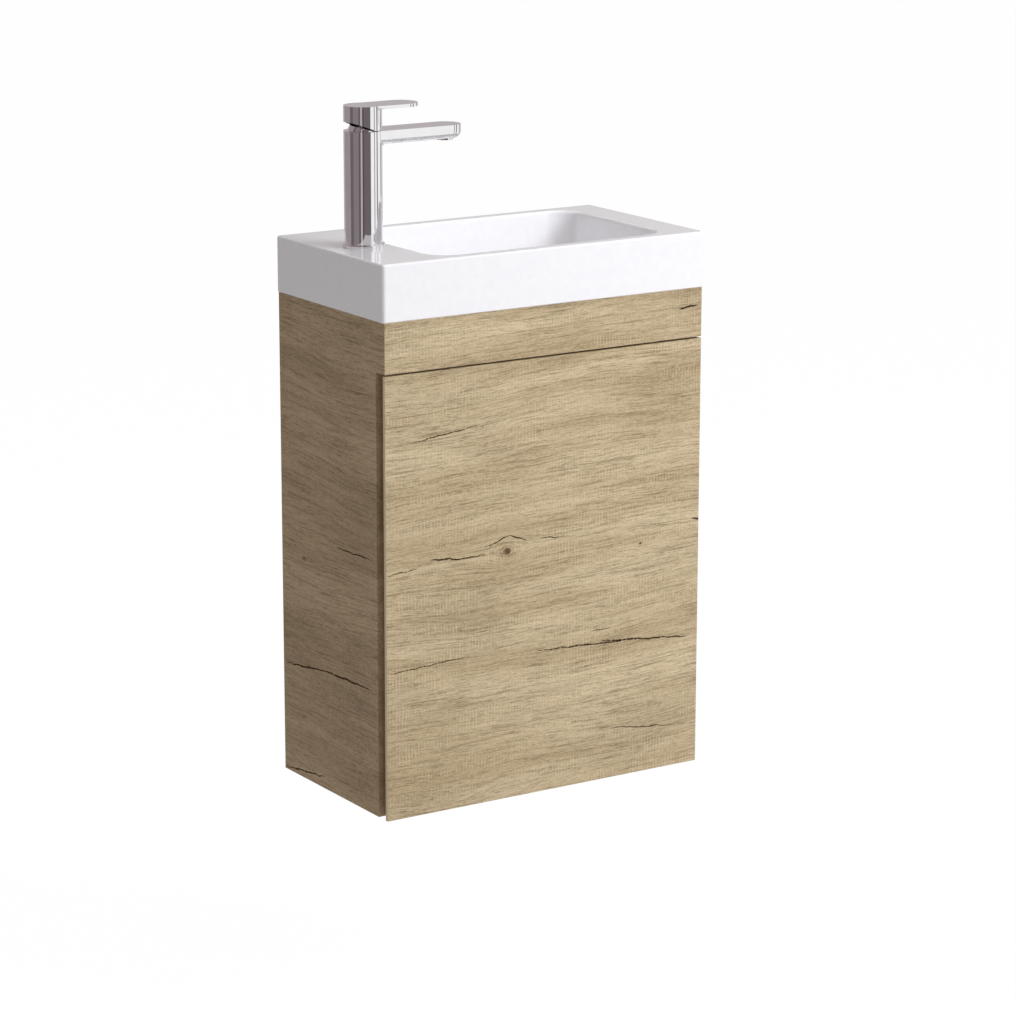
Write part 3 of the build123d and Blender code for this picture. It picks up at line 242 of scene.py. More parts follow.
@dataclass(frozen=True)
class Finish:
    """A plain material with slight unevenness in tone, gloss and surface."""

    name: str
    light: str
    dark: str
    roughness: tuple[float, float] = (0.3, 0.4)
    metallic: float = 0.0
    grain_mm: float = 8.0
    stretch: tuple[float, float, float] = (1.0, 1.0, 1.0)
    relief_mm: float = 0.004
    coat: float = 0.0
    transmission: float = 0.0

    def build(self) -> bpy.types.Material:
        """Make the material."""
        material, graph = new_material(self.name)
        place, *_ = place_mm(graph)
        drawn = graph.add("VectorMath", {0: place, 1: self.stretch}, operation="MULTIPLY")
        cloud = graph.noise(drawn, 1 / self.grain_mm, 4.0)
        fine = graph.noise(drawn, 6 / self.grain_mm, 3.0)
        tone = graph.mix(cloud.ramp(0.3, 0.7), linear(self.light), linear(self.dark))
        rough = cloud.ramp(0.25, 0.75, *self.roughness)
        extra = {"Transmission_Weight": self.transmission} if self.transmission else {}
        surface(graph, fine, self.relief_mm, Base_Color=tone, Roughness=rough,
                Metallic=self.metallic, Coat_Weight=self.coat, **extra)
        return material


@dataclass(frozen=True)
class Glaze(Finish):
    """Fired white glaze: wet gloss, very slightly uneven where it ran before firing."""

    swell_mm: float = 70.0

    def build(self) -> bpy.types.Material:
        """Make the material."""
        material, graph = new_material(self.name)
        place, *_ = place_mm(graph)
        swell = graph.noise(place, 1 / self.swell_mm, 1.0)
        speck = graph.noise(place, 1 / self.grain_mm, 2.0)
        tone = graph.mix(speck.ramp(0.35, 0.65), linear(self.light), linear(self.dark))
        relief = swell + speck * 0.02
        surface(graph, relief, self.relief_mm, Base_Color=tone, Metallic=0.0, IOR=1.52,
                Roughness=speck.ramp(0.3, 0.7, *self.roughness), Coat_Weight=self.coat, Coat_Roughness=0.03)
        return material


class Grain(Enum):
    """The plane that the wood's picture lies in: along the grain, across it, into the board."""

    FRONT = (0, 2, 1)
    SIDE = (1, 2, 0)
    FLAT = (0, 1, 2)


@dataclass(frozen=True)
class Crack:
    """A dry split in the wood: its two ends along and across the grain, and its width."""

    start: tuple[float, float]
    end: tuple[float, float]
    width: float = 0.9


def crack_group() -> bpy.types.NodeTree:
    """A node group that draws one wavering split between two points."""
    tree = bpy.data.node_groups.new("split_in_wood", "ShaderNodeTree")
    for name, kind in (("Place", "NodeSocketVector"), ("Start", "NodeSocketVector"),
                       ("End", "NodeSocketVector"), ("Width", "NodeSocketFloat")):
        tree.interface.new_socket(name, in_out="INPUT", socket_type=kind)
    tree.interface.new_socket("Mask", in_out="OUTPUT", socket_type="NodeSocketFloat")
    graph = Graph(tree)
    source = tree.nodes.new("NodeGroupInput")
    place, start, end, width = (Signal(graph, source.outputs[i]) for i in range(4))
    waver = graph.noise(place, 0.07, 3.0)
    shift = graph.point(0.0, (waver - 0.5) * 5.0, 0.0)
    bent = graph.add("VectorMath", {0: place, 1: shift}, operation="ADD")
    along = graph.add("VectorMath", {0: end, 1: start}, operation="SUBTRACT")
    away = graph.add("VectorMath", {0: bent, 1: start}, operation="SUBTRACT")
    reach = graph.add("VectorMath", {0: away, 1: along}, operation="DOT_PRODUCT", out="Value")
    square = graph.add("VectorMath", {0: along, 1: along}, operation="DOT_PRODUCT", out="Value")
    share = (reach / square).calc("ADD", 0.0, use_clamp=True)
    foot = graph.add("VectorMath", {0: along, "Scale": share}, operation="SCALE")
    rest = graph.add("VectorMath", {0: away, 1: foot}, operation="SUBTRACT")
    gap = graph.add("VectorMath", {0: rest}, operation="LENGTH", out="Value")
    taper = (share * (share * -1.0 + 1.0) * 4.0).calc("SQRT")
    broken = graph.noise(place, 0.35, 2.0).ramp(0.3, 0.5, 0.25, 1.0)
    edge = width * taper * broken * 1.35 + 0.02
    mask = (gap / edge).ramp(1.0, 0.35, 0.0, 1.0)
    out = tree.nodes.new("NodeGroupOutput")
    tree.links.new(mask.socket, out.inputs[0])
    return tree


@dataclass(frozen=True)
class Oak(Finish):
    """Rough-sawn oak print on board: long wavering grain, dark pores, saw-mark patches, knots and dry splits."""

    grain: Grain = Grain.FRONT
    shade: str = "#7D694A"
    saw_mm: float = 3.9
    # painted shade on the door's left-facing edge and grip, dark behind a given depth, with a painted lighter lip in
    # front of it
    painted_grip_shade: str = ""
    grip_shade_from_mm: float = -209.0
    knots: tuple[tuple[float, float, float], ...] = ()
    cracks: tuple[Crack, ...] = ()
    groups: list = field(default_factory=list, compare=False)

    def build(self) -> bpy.types.Material:
        """Make the material."""
        material, graph = new_material(self.name)
        _, *axes = place_mm(graph)
        u, v, w = (axes[i] for i in self.grain.value)
        flow = graph.noise(graph.point(u * 0.0032, v * 0.006, w * 0.006), 1.0, 1.5)
        ripple = graph.noise(graph.point(u * 0.02, v * 0.03, w * 0.03), 1.0, 2.0)
        bent = v + (flow - 0.5) * 42.0 + (ripple - 0.5) * 4.0 - u * 0.02
        eyes = []
        for knot_u, knot_v, size in self.knots:
            du, dv = u - knot_u, v - knot_v
            far = (du * du) * (0.22 / size ** 2) + (dv * dv) * (0.5 / size ** 2)
            bulge = (far * -0.22).calc("EXPONENT")
            bent = bent - dv * bulge * 0.8
            eyes.append((du * du * 0.7 + dv * dv * 1.3).calc("SQRT") / size)
        fibre = graph.noise(graph.point(u * 0.016, bent * 0.5, w * 0.5), 1.0, 8.0, 0.8)
        thread = graph.noise(graph.point(u * 0.06, bent * 1.3, w * 1.3), 1.0, 5.0, 0.75)
        band = graph.noise(graph.point(u * 0.0022, bent * 0.028, w * 0.028), 1.0, 3.0)
        cloud = graph.noise(graph.point(u * 0.006, v * 0.012, w * 0.012), 1.0, 2.0)
        rough = graph.noise(graph.point(u * 0.22, bent * 0.9, w * 0.9), 1.0, 4.0, 0.75)
        pore_field = graph.noise(graph.point(u * 0.07, bent * 1.7, w * 1.7), 1.0, 2.0)
        pores = pore_field.ramp(0.6, 0.72) * cloud.ramp(0.35, 0.6, 0.3, 1.0)
        patch = graph.noise(graph.point(u * 0.012, v * 0.065, w * 0.065), 1.0, 2.0).ramp(0.44, 0.64)
        beat = ((u + (ripple - 0.5) * 4.0) * (2 * math.pi / self.saw_mm)).calc("SINE").ramp(-0.3, 0.9)
        saw = patch * beat * graph.noise(graph.point(u * 0.2, v * 0.14, w * 0.14), 1.0, 2.0).ramp(0.35, 0.55)
        tone = graph.mix(band.ramp(0.3, 0.72), linear(self.light), linear(self.dark))
        tone = graph.mix(cloud.ramp(0.42, 0.7, 0.0, 0.22), tone, linear(self.shade))
        tone = graph.mix(fibre.ramp(0.46, 0.66, 0.0, 0.85), tone, linear(self.shade))
        tone = graph.mix(thread.ramp(0.5, 0.66, 0.0, 0.7), tone, linear(self.shade))
        tone = graph.mix(rough.ramp(0.5, 0.72, 0.0, 0.6), tone, linear(self.shade))
        tone = graph.mix(rough.ramp(0.5, 0.3, 0.0, 0.5), tone, linear(self.light))
        tone = graph.mix(saw * 0.5, tone, linear(self.light))
        tone = graph.mix(pores * 0.7, tone, linear("#54412B"))
        deep = pores * 0.4 + saw * 0.15 + fibre.ramp(0.4, 0.8, 0.0, 0.25) + rough.ramp(0.35, 0.7, 0.0, 0.2)
        for eye in eyes:
            ring = ((eye * 9.0 + thread * 3.0).calc("SINE") * 0.5 + 0.5) * eye.ramp(3.2, 0.8)
            tone = graph.mix(ring * 0.5, tone, linear("#7A5638"))
            heart = (eye + (thread - 0.5) * 2.0).ramp(1.1, 0.4)
            tone = graph.mix(heart * 0.85, tone, linear("#573220"))
            deep = deep + heart * 0.5
        place = graph.point(u, v, 0.0)
        for crack in self.cracks:
            ends = {"Start": (*crack.start, 0.0), "End": (*crack.end, 0.0)}
            split = graph.add("Group", {"Place": place, **ends, "Width": crack.width}, node_tree=self.groups[0])
            tone = graph.mix(split * 0.95, tone, linear("#2E1B0B"))
            deep = deep + split
        # painted shade: left-facing faces behind the lip turn dark brown as the grip recess's shade, and the lip in
        # front is painted lighter as light caught on its edge
        if self.painted_grip_shade:
            facing = graph.add("SeparateXYZ", {0: graph.add("TexCoord", out="Normal")})
            behind = w.ramp(self.grip_shade_from_mm, self.grip_shade_from_mm + 1.0)
            edge = graph.mix(behind, linear(self.light), linear(self.painted_grip_shade))
            tone = graph.mix(facing.ramp(-0.3, -0.6, 0.0, 0.86), tone, edge)
        height = deep * -1.0 + 1.0
        surface(graph, height, self.relief_mm, Base_Color=tone, Metallic=0.0,
                Specular_IOR_Level=deep.ramp(0.0, 0.8, 0.3, 0.0), Roughness=deep.ramp(0.0, 1.0, *self.roughness))
        return material


FRONT_CRACKS = (
    Crack((-144.0, -184.5), (-104.0, -188.5), 1.0),
    Crack((-116.0, -188.2), (-76.0, -188.6), 0.9),
    Crack((-78.0, -180.0), (-45.0, -171.0), 0.8),
    Crack((-46.0, -171.0), (-24.0, -180.0), 0.8),
    Crack((-8.0, -180.0), (27.0, -181.5), 0.6),
    Crack((-168.8, -58.3), (-82.1, -47.8), 0.7),
    Crack((-12.0, -302.5), (104.0, -308.0), 1.0),
    Crack((70.0, -304.0), (184.0, -315.5), 1.1),
    Crack((84.0, -404.0), (168.0, -414.0), 0.6),
    Crack((-197.0, -300.5), (-97.0, -295.0), 0.6),
    Crack((-196.0, -194.5), (-160.0, -191.5), 0.6),
    Crack((188.0, -183.0), (200.0, -185.5), 1.0),
    Crack((168.0, 49.0), (193.2, 51.3), 1.2),
    Crack((58.0, -291.3), (83.0, -291.6), 0.5),
)
SIDE_CRACKS = (
    Crack((-6.0, -338.5), (-108.0, -325.5), 1.0),
    Crack((-84.0, -328.0), (-188.0, -324.5), 1.1),
    Crack((-118.0, -185.8), (-191.0, -183.4), 0.8),
    Crack((-86.5, -447.0), (-2.7, -457.3), 1.0),
)


def finishes() -> dict[str, Finish]:
    """Every finish of the unit, by the record's material slot, with two more for turned boards."""
    groups = [crack_group()]
    tones = {"light": "#DCCAA7", "dark": "#BDA985"}
    # painted shade: the sides' tones are a darker, browner copy of the front's print
    shaded_side_tones = {"light": "#CBB491", "dark": "#AE9776", "shade": "#77614A"}
    oak = {"roughness": (0.5, 0.72), "relief_mm": 0.1, "groups": groups}
    front = {"grain": Grain.FRONT, "knots": ((-49.7, -187.8, 4.8), (120.7, -202.5, 1.8)), "cracks": FRONT_CRACKS}
    return {
        # bright white glaze, sharp reflections, no tint
        "glazed_ware": Glaze("white_glaze", "#F7F7F9", "#F5F5F8", (0.05, 0.08), relief_mm=0.02, coat=0.4),
        # light tan sawn oak print, grain level, seen on the apron and the rails
        "oak_front": Oak("oak_print_front", **front, **tones, **oak),
        # the same print on the door, with painted shade in dark brown on its left-facing edge and grip recess, and a
        # painted lighter lip at the front
        "oak_door": Oak("oak_print_door", painted_grip_shade="#694A38", **front, **tones, **oak),
        # the same print running front to back on the sides, painted darker and browner as shade
        "oak_side": Oak("oak_print_side", grain=Grain.SIDE, knots=((-48.0, -212.5, 1.8),), cracks=SIDE_CRACKS,
                        **shaded_side_tones, **oak),
        # the same print on the lying boards
        "oak_board": Oak("oak_print_boards", grain=Grain.FLAT, **tones, **oak),
        # pinkish straight-grained hardwood
        "beech": Finish("turned_beech", "#D9B48A", "#BF9166", (0.5, 0.65), grain_mm=3.0, stretch=(0.15, 1, 1)),
        # milk-white moulded plastic, soft gloss
        "white_plastic": Finish("white_polypropylene", "#EFEFEC", "#E4E4E0", (0.28, 0.4), grain_mm=12),
        # pale bluish zinc on pressed steel
        "zinc_steel": Finish("zinc_plated_steel", "#C9CCD0", "#A9AEB4", (0.25, 0.42), 1.0, 5.0),
        # duller grey cast zinc
        "die_cast_zinc": Finish("cast_zinc", "#B9BABC", "#9A9B9E", (0.38, 0.55), 1.0, 2.5, relief_mm=0.02),
        # warm bright nickel on pressed steel
        "nickel_steel": Finish("nickel_plated_steel", "#D6D0C4", "#BDB6A8", (0.16, 0.28), 1.0, 6.0),
        # mirror chrome, barely darker than the room it reflects
        "chrome": Finish("polished_chrome", "#F1F0F1", "#ECEBEC", (0.03, 0.05), 1.0, 18.0, relief_mm=0.0006),
        # yellow machined brass
        "brass": Finish("machined_brass", "#D2B068", "#B8934C", (0.22, 0.35), 1.0, 2.0, (0.2, 0.2, 3.0)),
        # brushed grey stainless steel
        "stainless": Finish("brushed_stainless", "#C6C5C2", "#ABAAA7", (0.2, 0.34), 1.0, 2.0, (0.1, 1.0, 1.0)),
        # matt black rubber with a bloom
        "black_rubber": Finish("black_rubber", "#1D1D1E", "#29292A", (0.6, 0.8), grain_mm=3.0, relief_mm=0.02),
        # dark grey plastic in the aerator
        "dark_plastic": Finish("dark_acetal", "#2B2C2E", "#37383A", (0.35, 0.5), grain_mm=2.0),
        # clear soft dots
        "clear_bumper": Finish("clear_silicone", "#EDEDED", "#E2E2E2", (0.2, 0.3), grain_mm=2.0, transmission=0.8),
        # half red, half blue mark, seen as a dull red dot here
        "indicator": Finish("printed_indicator", "#B3262B", "#9C1E25", (0.25, 0.35), grain_mm=2.0),
    }


class Kit:
    """The frame's nodes with their bodies and finishes."""

    def __init__(self, loaded: dict) -> None:
        """Read the record and make every finish once."""
        self.nodes = loaded["nodes"]
        record = loaded["record"]
        self.slots = {part["node"]: part["material_slot"] for part in record["subparts"]}
        lists = record["behaviour"]["bodies"]
        self.bodies = {node: body for body, names in lists.items() for node in names}
        self.materials = {slot: finish.build() for slot, finish in finishes().items()}

    def dress(self, obj: bpy.types.Object, node: str, look: str | None = None) -> bpy.types.Object:
        """Let a made piece stand for a node, with its body and finish.

        Args:
            obj: the finished mesh, in place.
            node: the CAD node it stands for.
            look: a finish other than the slot's own.

        Returns:
            The same object.
        """
        if not obj.data.materials:
            obj.data.materials.append(self.materials[look or self.slots[node]])
        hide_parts(node)
        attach(obj, self.bodies[node])
        LOG.info("%s: %d faces for %s", obj.name, len(obj.data.polygons), node)
        return obj

    def islands(self, node: str) -> list[list[Vector]]:
        """The corner points of each separate solid of a node, in the order that they are found."""
        shell = bmesh.new()
        shell.from_mesh(self.nodes[node].data)
        bmesh.ops.remove_doubles(shell, verts=shell.verts, dist=0.002 * MM)
        left, found = set(shell.verts), []
        while left:
            todo, points = [left.pop()], []
            while todo:
                vert = todo.pop()
                points.append(vert.co.copy())
                near = {edge.other_vert(vert) for edge in vert.link_edges} & left
                left -= near
                todo.extend(near)
            found.append(points)
        shell.free()
        return sorted(found, key=lambda pts: tuple(round(sum(c) / len(pts), 4) for c in zip(*pts)))


def bake(obj: bpy.types.Object) -> bpy.types.Object:
    """Turn an object's modifiers into a plain mesh."""
    graph = bpy.context.evaluated_depsgraph_get()
    graph.update()
    mesh = bpy.data.meshes.new_from_object(obj.evaluated_get(graph))
    old = obj.data
    obj.modifiers.clear()
    obj.data = mesh
    mesh.name = obj.name
    bpy.data.meshes.remove(old)
    return obj


def as_object(name: str, shell: bmesh.types.BMesh) -> bpy.types.Object:
    """Make a scene object from a bmesh, with its faces pointing outward."""
    bmesh.ops.recalc_face_normals(shell, faces=shell.faces)
    mesh = bpy.data.meshes.new(name)
    shell.to_mesh(mesh)
    shell.free()
    obj = bpy.data.objects.new(name, mesh)
    bpy.context.scene.collection.objects.link(obj)
    return obj


def finish_mesh(obj: bpy.types.Object, bevel_mm: float, sharp_deg: float = 32.0, segments: int = 2) -> bpy.types.Object:
    """Round the hard edges, shade smoothly and keep flat faces flat.

    Args:
        obj: the object to finish.
        bevel_mm: how wide the rounded edge is.
        sharp_deg: edges steeper than this are rounded.
        segments: faces across the rounded edge.

    Returns:
        The same object with a plain mesh.
    """
    if bevel_mm:
        bevel = obj.modifiers.new("edges", "BEVEL")
        bevel.width = bevel_mm * MM
        bevel.segments = segments
        bevel.limit_method = "ANGLE"
        bevel.angle_limit = math.radians(sharp_deg)
        bevel.harden_normals = False
    bake(obj)
    obj.data.shade_smooth()
    obj.data.set_sharp_from_angle(angle=math.radians(40))
    weighted = obj.modifiers.new("normals", "WEIGHTED_NORMAL")
    weighted.keep_sharp = True
    weighted.weight = 60
    return bake(obj)


def softened(kit: Kit, node: str, bevel_mm: float = 0.25) -> bpy.types.Object:
    """A visual copy of a CAD node with whole flat faces and rounded edges."""
    shell = bmesh.new()
    shell.from_mesh(kit.nodes[node].data)
    bmesh.ops.remove_doubles(shell, verts=shell.verts, dist=0.002 * MM)
    bmesh.ops.dissolve_degenerate(shell, dist=0.002 * MM, edges=shell.edges)
    bmesh.ops.dissolve_limit(shell, angle_limit=math.radians(0.4), verts=shell.verts, edges=shell.edges)
    return finish_mesh(as_object(f"look_{node}", shell), bevel_mm)


def skin(name: str, loops: list[list[Vector]], closed: bool) -> bpy.types.Object:
    """Join loops of points with faces, one loop to the next.

    Args:
        name: the object's name.
        loops: rings of points, all with the same count.
        closed: whether the last loop joins the first, or both ends are capped.

    Returns:
        The object, before its edges are finished.
    """
    shell = bmesh.new()
    rings = [[shell.verts.new(point) for point in loop] for loop in loops]
    pairs = list(zip(rings, rings[1:]))
    if closed:
        pairs.append((rings[-1], rings[0]))
    else:
        shell.faces.new(rings[0])
        shell.faces.new(rings[-1])
    count = len(rings[0])
    for first, second in pairs:
        for i in range(count):
            j = (i + 1) % count
            shell.faces.new((first[i], first[j], second[j], second[i]))
    return as_object(name, shell)


@dataclass(frozen=True)
class Tub:
    """A rounded rectangle in plan that loops are drawn from, in millimetres."""

    centre: tuple[float, float]
    half: tuple[float, float]
    corner: float
    arc_steps: int = 12
    side_steps: int = 5

    def loop(self, inset: float, z: float, corner: float | None = None) -> list[Vector]:
        """The outline drawn in by inset at height z, with its own corner radius if given."""
        radius = max(self.corner - inset if corner is None else corner, 0.2)
        half_x, half_y = self.half[0] - inset - radius, self.half[1] - inset - radius
        points = []
        for quarter, (sx, sy) in enumerate(((1, 1), (-1, 1), (-1, -1), (1, -1))):
            for step in range(self.arc_steps + 1):
                angle = math.pi / 2 * (quarter + step / self.arc_steps)
                x = self.centre[0] + sx * half_x + radius * math.cos(angle)
                y = self.centre[1] + sy * half_y + radius * math.sin(angle)
                points.append((x, y))
        return [metres(x, y, z) for x, y in self.with_sides(points)]

    def with_sides(self, corners: list[tuple[float, float]]) -> list[tuple[float, float]]:
        """Add points along the four straight sides between the corners' arcs."""
        per_corner = self.arc_steps + 1
        points = []
        for quarter in range(4):
            arc = corners[quarter * per_corner:(quarter + 1) * per_corner]
            follow = corners[((quarter + 1) * per_corner) % len(corners)]
            points.extend(arc)
            for step in range(1, self.side_steps + 1):
                share = step / (self.side_steps + 1)
                points.append(tuple(a + (b - a) * share for a, b in zip(arc[-1], follow)))
        return points

    def circle(self, radius: float, z: float) -> list[Vector]:
        """A circle about the centre with as many points as a loop has."""
        count = 4 * (self.arc_steps + 1 + self.side_steps)
        turns = [2 * math.pi * i / count for i in range(count)]
        cx, cy = self.centre
        return [metres(cx + radius * math.cos(t), cy + radius * math.sin(t), z) for t in turns]


@dataclass(frozen=True)
class Basin:
    """The ceramic basin: skirt, deck, bowl and the two holes, read from its CAD node's box."""

    kit: Kit
    corner: float = 4.0
    edge: float = 2.5
    foot_edge: float = 0.8
    skirt: float = 12.0
    deck: float = 14.0
    bowl_left: float = 74.0
    bowl_right: float = 40.0
    bowl_front: float = 16.5
    bowl_rear: float = 16.0
    bowl_corner: float = 28.0
    bowl_depth: float = 85.0
    draft: float = 13.0
    floor_r: float = 18.0
    lip_r: float = 4.0
    wall: float = 3.6
    floor_t: float = 10.0
    boss: tuple[float, float] = (34.0, 3.0)
    hole_r: float = 22.5
    recess: tuple[float, float] = (32.5, 3.0)
    tap_hole_r: float = 17.5

    def lip_and_wall(self, bowl: Tub, top: float) -> list[list[Vector]]:
        """Loops over the bowl's lip, down its leaning wall and round into its floor."""
        lean = math.atan2(self.draft, self.bowl_depth)
        half_angle = (math.pi / 2 + lean) / 2
        lip_back = self.lip_r / math.tan(half_angle)
        loops = []
        for step in range(7):
            turn = math.pi / 2 + (lean - math.pi / 2) * step / 6
            inset = -lip_back + self.lip_r * math.cos(turn)
            z = top - self.lip_r + self.lip_r * math.sin(turn)
            loops.append(bowl.loop(inset, z, self.bowl_corner + max(-inset, 0.0)))
        centre_in = self.draft + self.floor_r / math.tan(half_angle)
        for step in range(11):
            turn = lean + (math.pi / 2 - lean) * step / 10
            inset = centre_in - self.floor_r * math.cos(turn)
            z = top - self.bowl_depth + self.floor_r - self.floor_r * math.sin(turn)
            loops.append(bowl.loop(inset, z, min(self.bowl_corner, self.bowl_corner + self.draft - inset)))
        return loops

    def build(self) -> bpy.types.Object:
        """Make the basin and dress it."""
        low, high = (Vector(corner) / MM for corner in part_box("basin"))
        top, rim = high.z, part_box("side_panel_left")[1].z / MM
        rear, front = high.y, low.y
        middle = ((low.x + high.x) / 2, (rear + front) / 2)
        slab = Tub(middle, ((high.x - low.x) / 2, (rear - front) / 2), self.corner)
        left, right = low.x + self.bowl_left, high.x - self.bowl_right
        near, far = front + self.bowl_front, rear - self.bowl_rear
        bowl = Tub(((left + right) / 2, (near + far) / 2), ((right - left) / 2, (far - near) / 2), self.bowl_corner)
        floor = top - self.bowl_depth
        loops = [bowl.circle(self.recess[0], floor - self.recess[1]), bowl.circle(self.recess[0], floor)]
        loops += reversed(self.lip_and_wall(bowl, top))
        for step in range(6):
            turn = math.pi / 2 * step / 5
            inset = self.edge * (1 - math.sin(turn))
            loops.append(slab.loop(inset, top - self.edge * (1 - math.cos(turn))))
        loops += [slab.loop(0, rim + self.foot_edge), slab.loop(self.foot_edge, rim)]
        loops += [slab.loop(self.skirt - self.foot_edge, rim, 2.0), slab.loop(self.skirt, rim + self.foot_edge, 2.0)]
        under = top - self.deck
        loops += [slab.loop(self.skirt, under - 2.0, 2.0), slab.loop(self.skirt + 0.2, under, 2.0)]
        foot = floor - self.floor_t
        loops += [bowl.loop(-self.wall, under, self.bowl_corner + self.wall)]
        loops += [bowl.loop(self.draft - self.wall - 3.0, foot + 16.0, self.bowl_corner + self.wall)]
        loops += [bowl.loop(self.draft - self.wall + 2.0, foot + 5.0), bowl.loop(self.draft + 8.0, foot)]
        boss_r, boss_h = self.boss
        loops += [bowl.circle(boss_r, foot), bowl.circle(boss_r, foot - boss_h)]
        loops += [bowl.circle(self.hole_r, foot - boss_h), bowl.circle(self.hole_r, floor - self.recess[1])]
        ware = skin("look_basin", loops, closed=True)
        self.cut_tap_hole(ware, top)
        return self.kit.dress(finish_mesh(ware, 0.0), "basin")

    def cut_tap_hole(self, ware: bpy.types.Object, top: float) -> None:
        """Cut the hole under the tap through the deck."""
        low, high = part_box("tap_base_ring")
        shell = bmesh.new()
        middle = Matrix.Translation(((low.x + high.x) / 2, (low.y + high.y) / 2, (top - self.deck / 2) * MM))
        bmesh.ops.create_cone(shell, cap_ends=True, segments=64, radius1=self.tap_hole_r * MM,
                              radius2=self.tap_hole_r * MM, depth=2 * self.deck * MM, matrix=middle)
        tool = as_object("tool", shell)
        cut = ware.modifiers.new("hole", "BOOLEAN")
        cut.object = tool
        cut.operation = "DIFFERENCE"
        cut.solver = "EXACT"
        bake(ware)
        bpy.data.objects.remove(tool)


@dataclass(frozen=True)
class Boards:
    """The cabinet's boards, each with its print turned to suit."""

    kit: Kit
    edge: float = 0.45
    looks: tuple[tuple[str, str], ...] = (
        ("side_panel_left", "oak_side"), ("side_panel_right", "oak_side"), ("apron_panel", "oak_front"),
        ("door_panel", "oak_door"), ("bottom_panel", "oak_board"), ("shelf", "oak_board"),
        ("rear_rail_upper", "oak_front"), ("rear_rail_lower", "oak_front"),
    )

    def build(self) -> None:
        """Make every board."""
        for node, look in self.looks:
            self.kit.dress(softened(self.kit, node, self.edge), node, look)


@dataclass(frozen=True)
class Turned:
    """A turned piece about its own Z axis, drawn as radius and height pairs in millimetres."""

    profile: tuple[tuple[float, float], ...]
    steps: int = 32

    def build(self, name: str) -> bpy.types.Object:
        """Make the piece at the origin."""
        turns = [2 * math.pi * i / self.steps for i in range(self.steps)]
        loops = [[metres(r * math.cos(t), r * math.sin(t), z) for t in turns] for r, z in self.profile]
        return skin(name, loops, closed=False)


def repeats_tree() -> bpy.types.NodeTree:
    """Geometry nodes that set one item at every point, turned by the point's own attribute."""
    tree = bpy.data.node_groups.new("item_at_points", "GeometryNodeTree")
    for name, kind in (("Geometry", "NodeSocketGeometry"), ("Item", "NodeSocketObject"),
                       ("Material", "NodeSocketMaterial"), ("Size", "NodeSocketFloat")):
        tree.interface.new_socket(name, in_out="INPUT", socket_type=kind)
    tree.interface.new_socket("Geometry", in_out="OUTPUT", socket_type="NodeSocketGeometry")
    graph = Graph(tree)
    source = tree.nodes.new("NodeGroupInput")
    geometry, item, material, size = (Signal(graph, source.outputs[i]) for i in range(4))
    shape = graph.add("GeometryNodeObjectInfo", {"Object": item}, out="Geometry")
    turn = graph.add("InputNamedAttribute", {"Name": "turn"}, data_type="FLOAT_VECTOR")
    set_out = graph.add("InstanceOnPoints", {"Points": geometry, "Instance": shape, "Rotation": turn, "Scale": size})
    real = graph.add("RealizeInstances", {"Geometry": set_out})
    dressed = graph.add("SetMaterial", {"Geometry": real, "Material": material})
    out = tree.nodes.new("NodeGroupOutput")
    tree.links.new(dressed.socket, out.inputs[0])
    return tree


class Repeater:
    """Sets copies of one item at given places with geometry nodes."""

    def __init__(self) -> None:
        """Make the node tree once."""
        self.tree = repeats_tree()
        sockets = self.tree.interface.items_tree
        self.inputs = {s.name: s.identifier for s in sockets if getattr(s, "in_out", "") == "INPUT"}

    def build(self, name: str, item: bpy.types.Object, material: bpy.types.Material,
              places: list[tuple[Vector, Vector]]) -> bpy.types.Object:
        """Make one mesh of all the copies.

        Args:
            name: the new object's name.
            item: what is repeated, removed afterwards.
            material: what all copies wear.
            places: each copy's origin and the way its Z axis points.

        Returns:
            A plain mesh object.
        """
        shell = bmesh.new()
        for spot, _ in places:
            shell.verts.new(spot)
        obj = as_object(name, shell)
        turn = obj.data.attributes.new("turn", "FLOAT_VECTOR", "POINT")
        for index, (_, way) in enumerate(places):
            turn.data[index].vector = way.to_track_quat("Z", "Y").to_euler()
        nodes = obj.modifiers.new("copies", "NODES")
        nodes.node_group = self.tree
        nodes[self.inputs["Item"]] = item
        nodes[self.inputs["Material"]] = material
        nodes[self.inputs["Size"]] = 1.0
        bake(obj)
        bpy.data.objects.remove(item)
        return obj


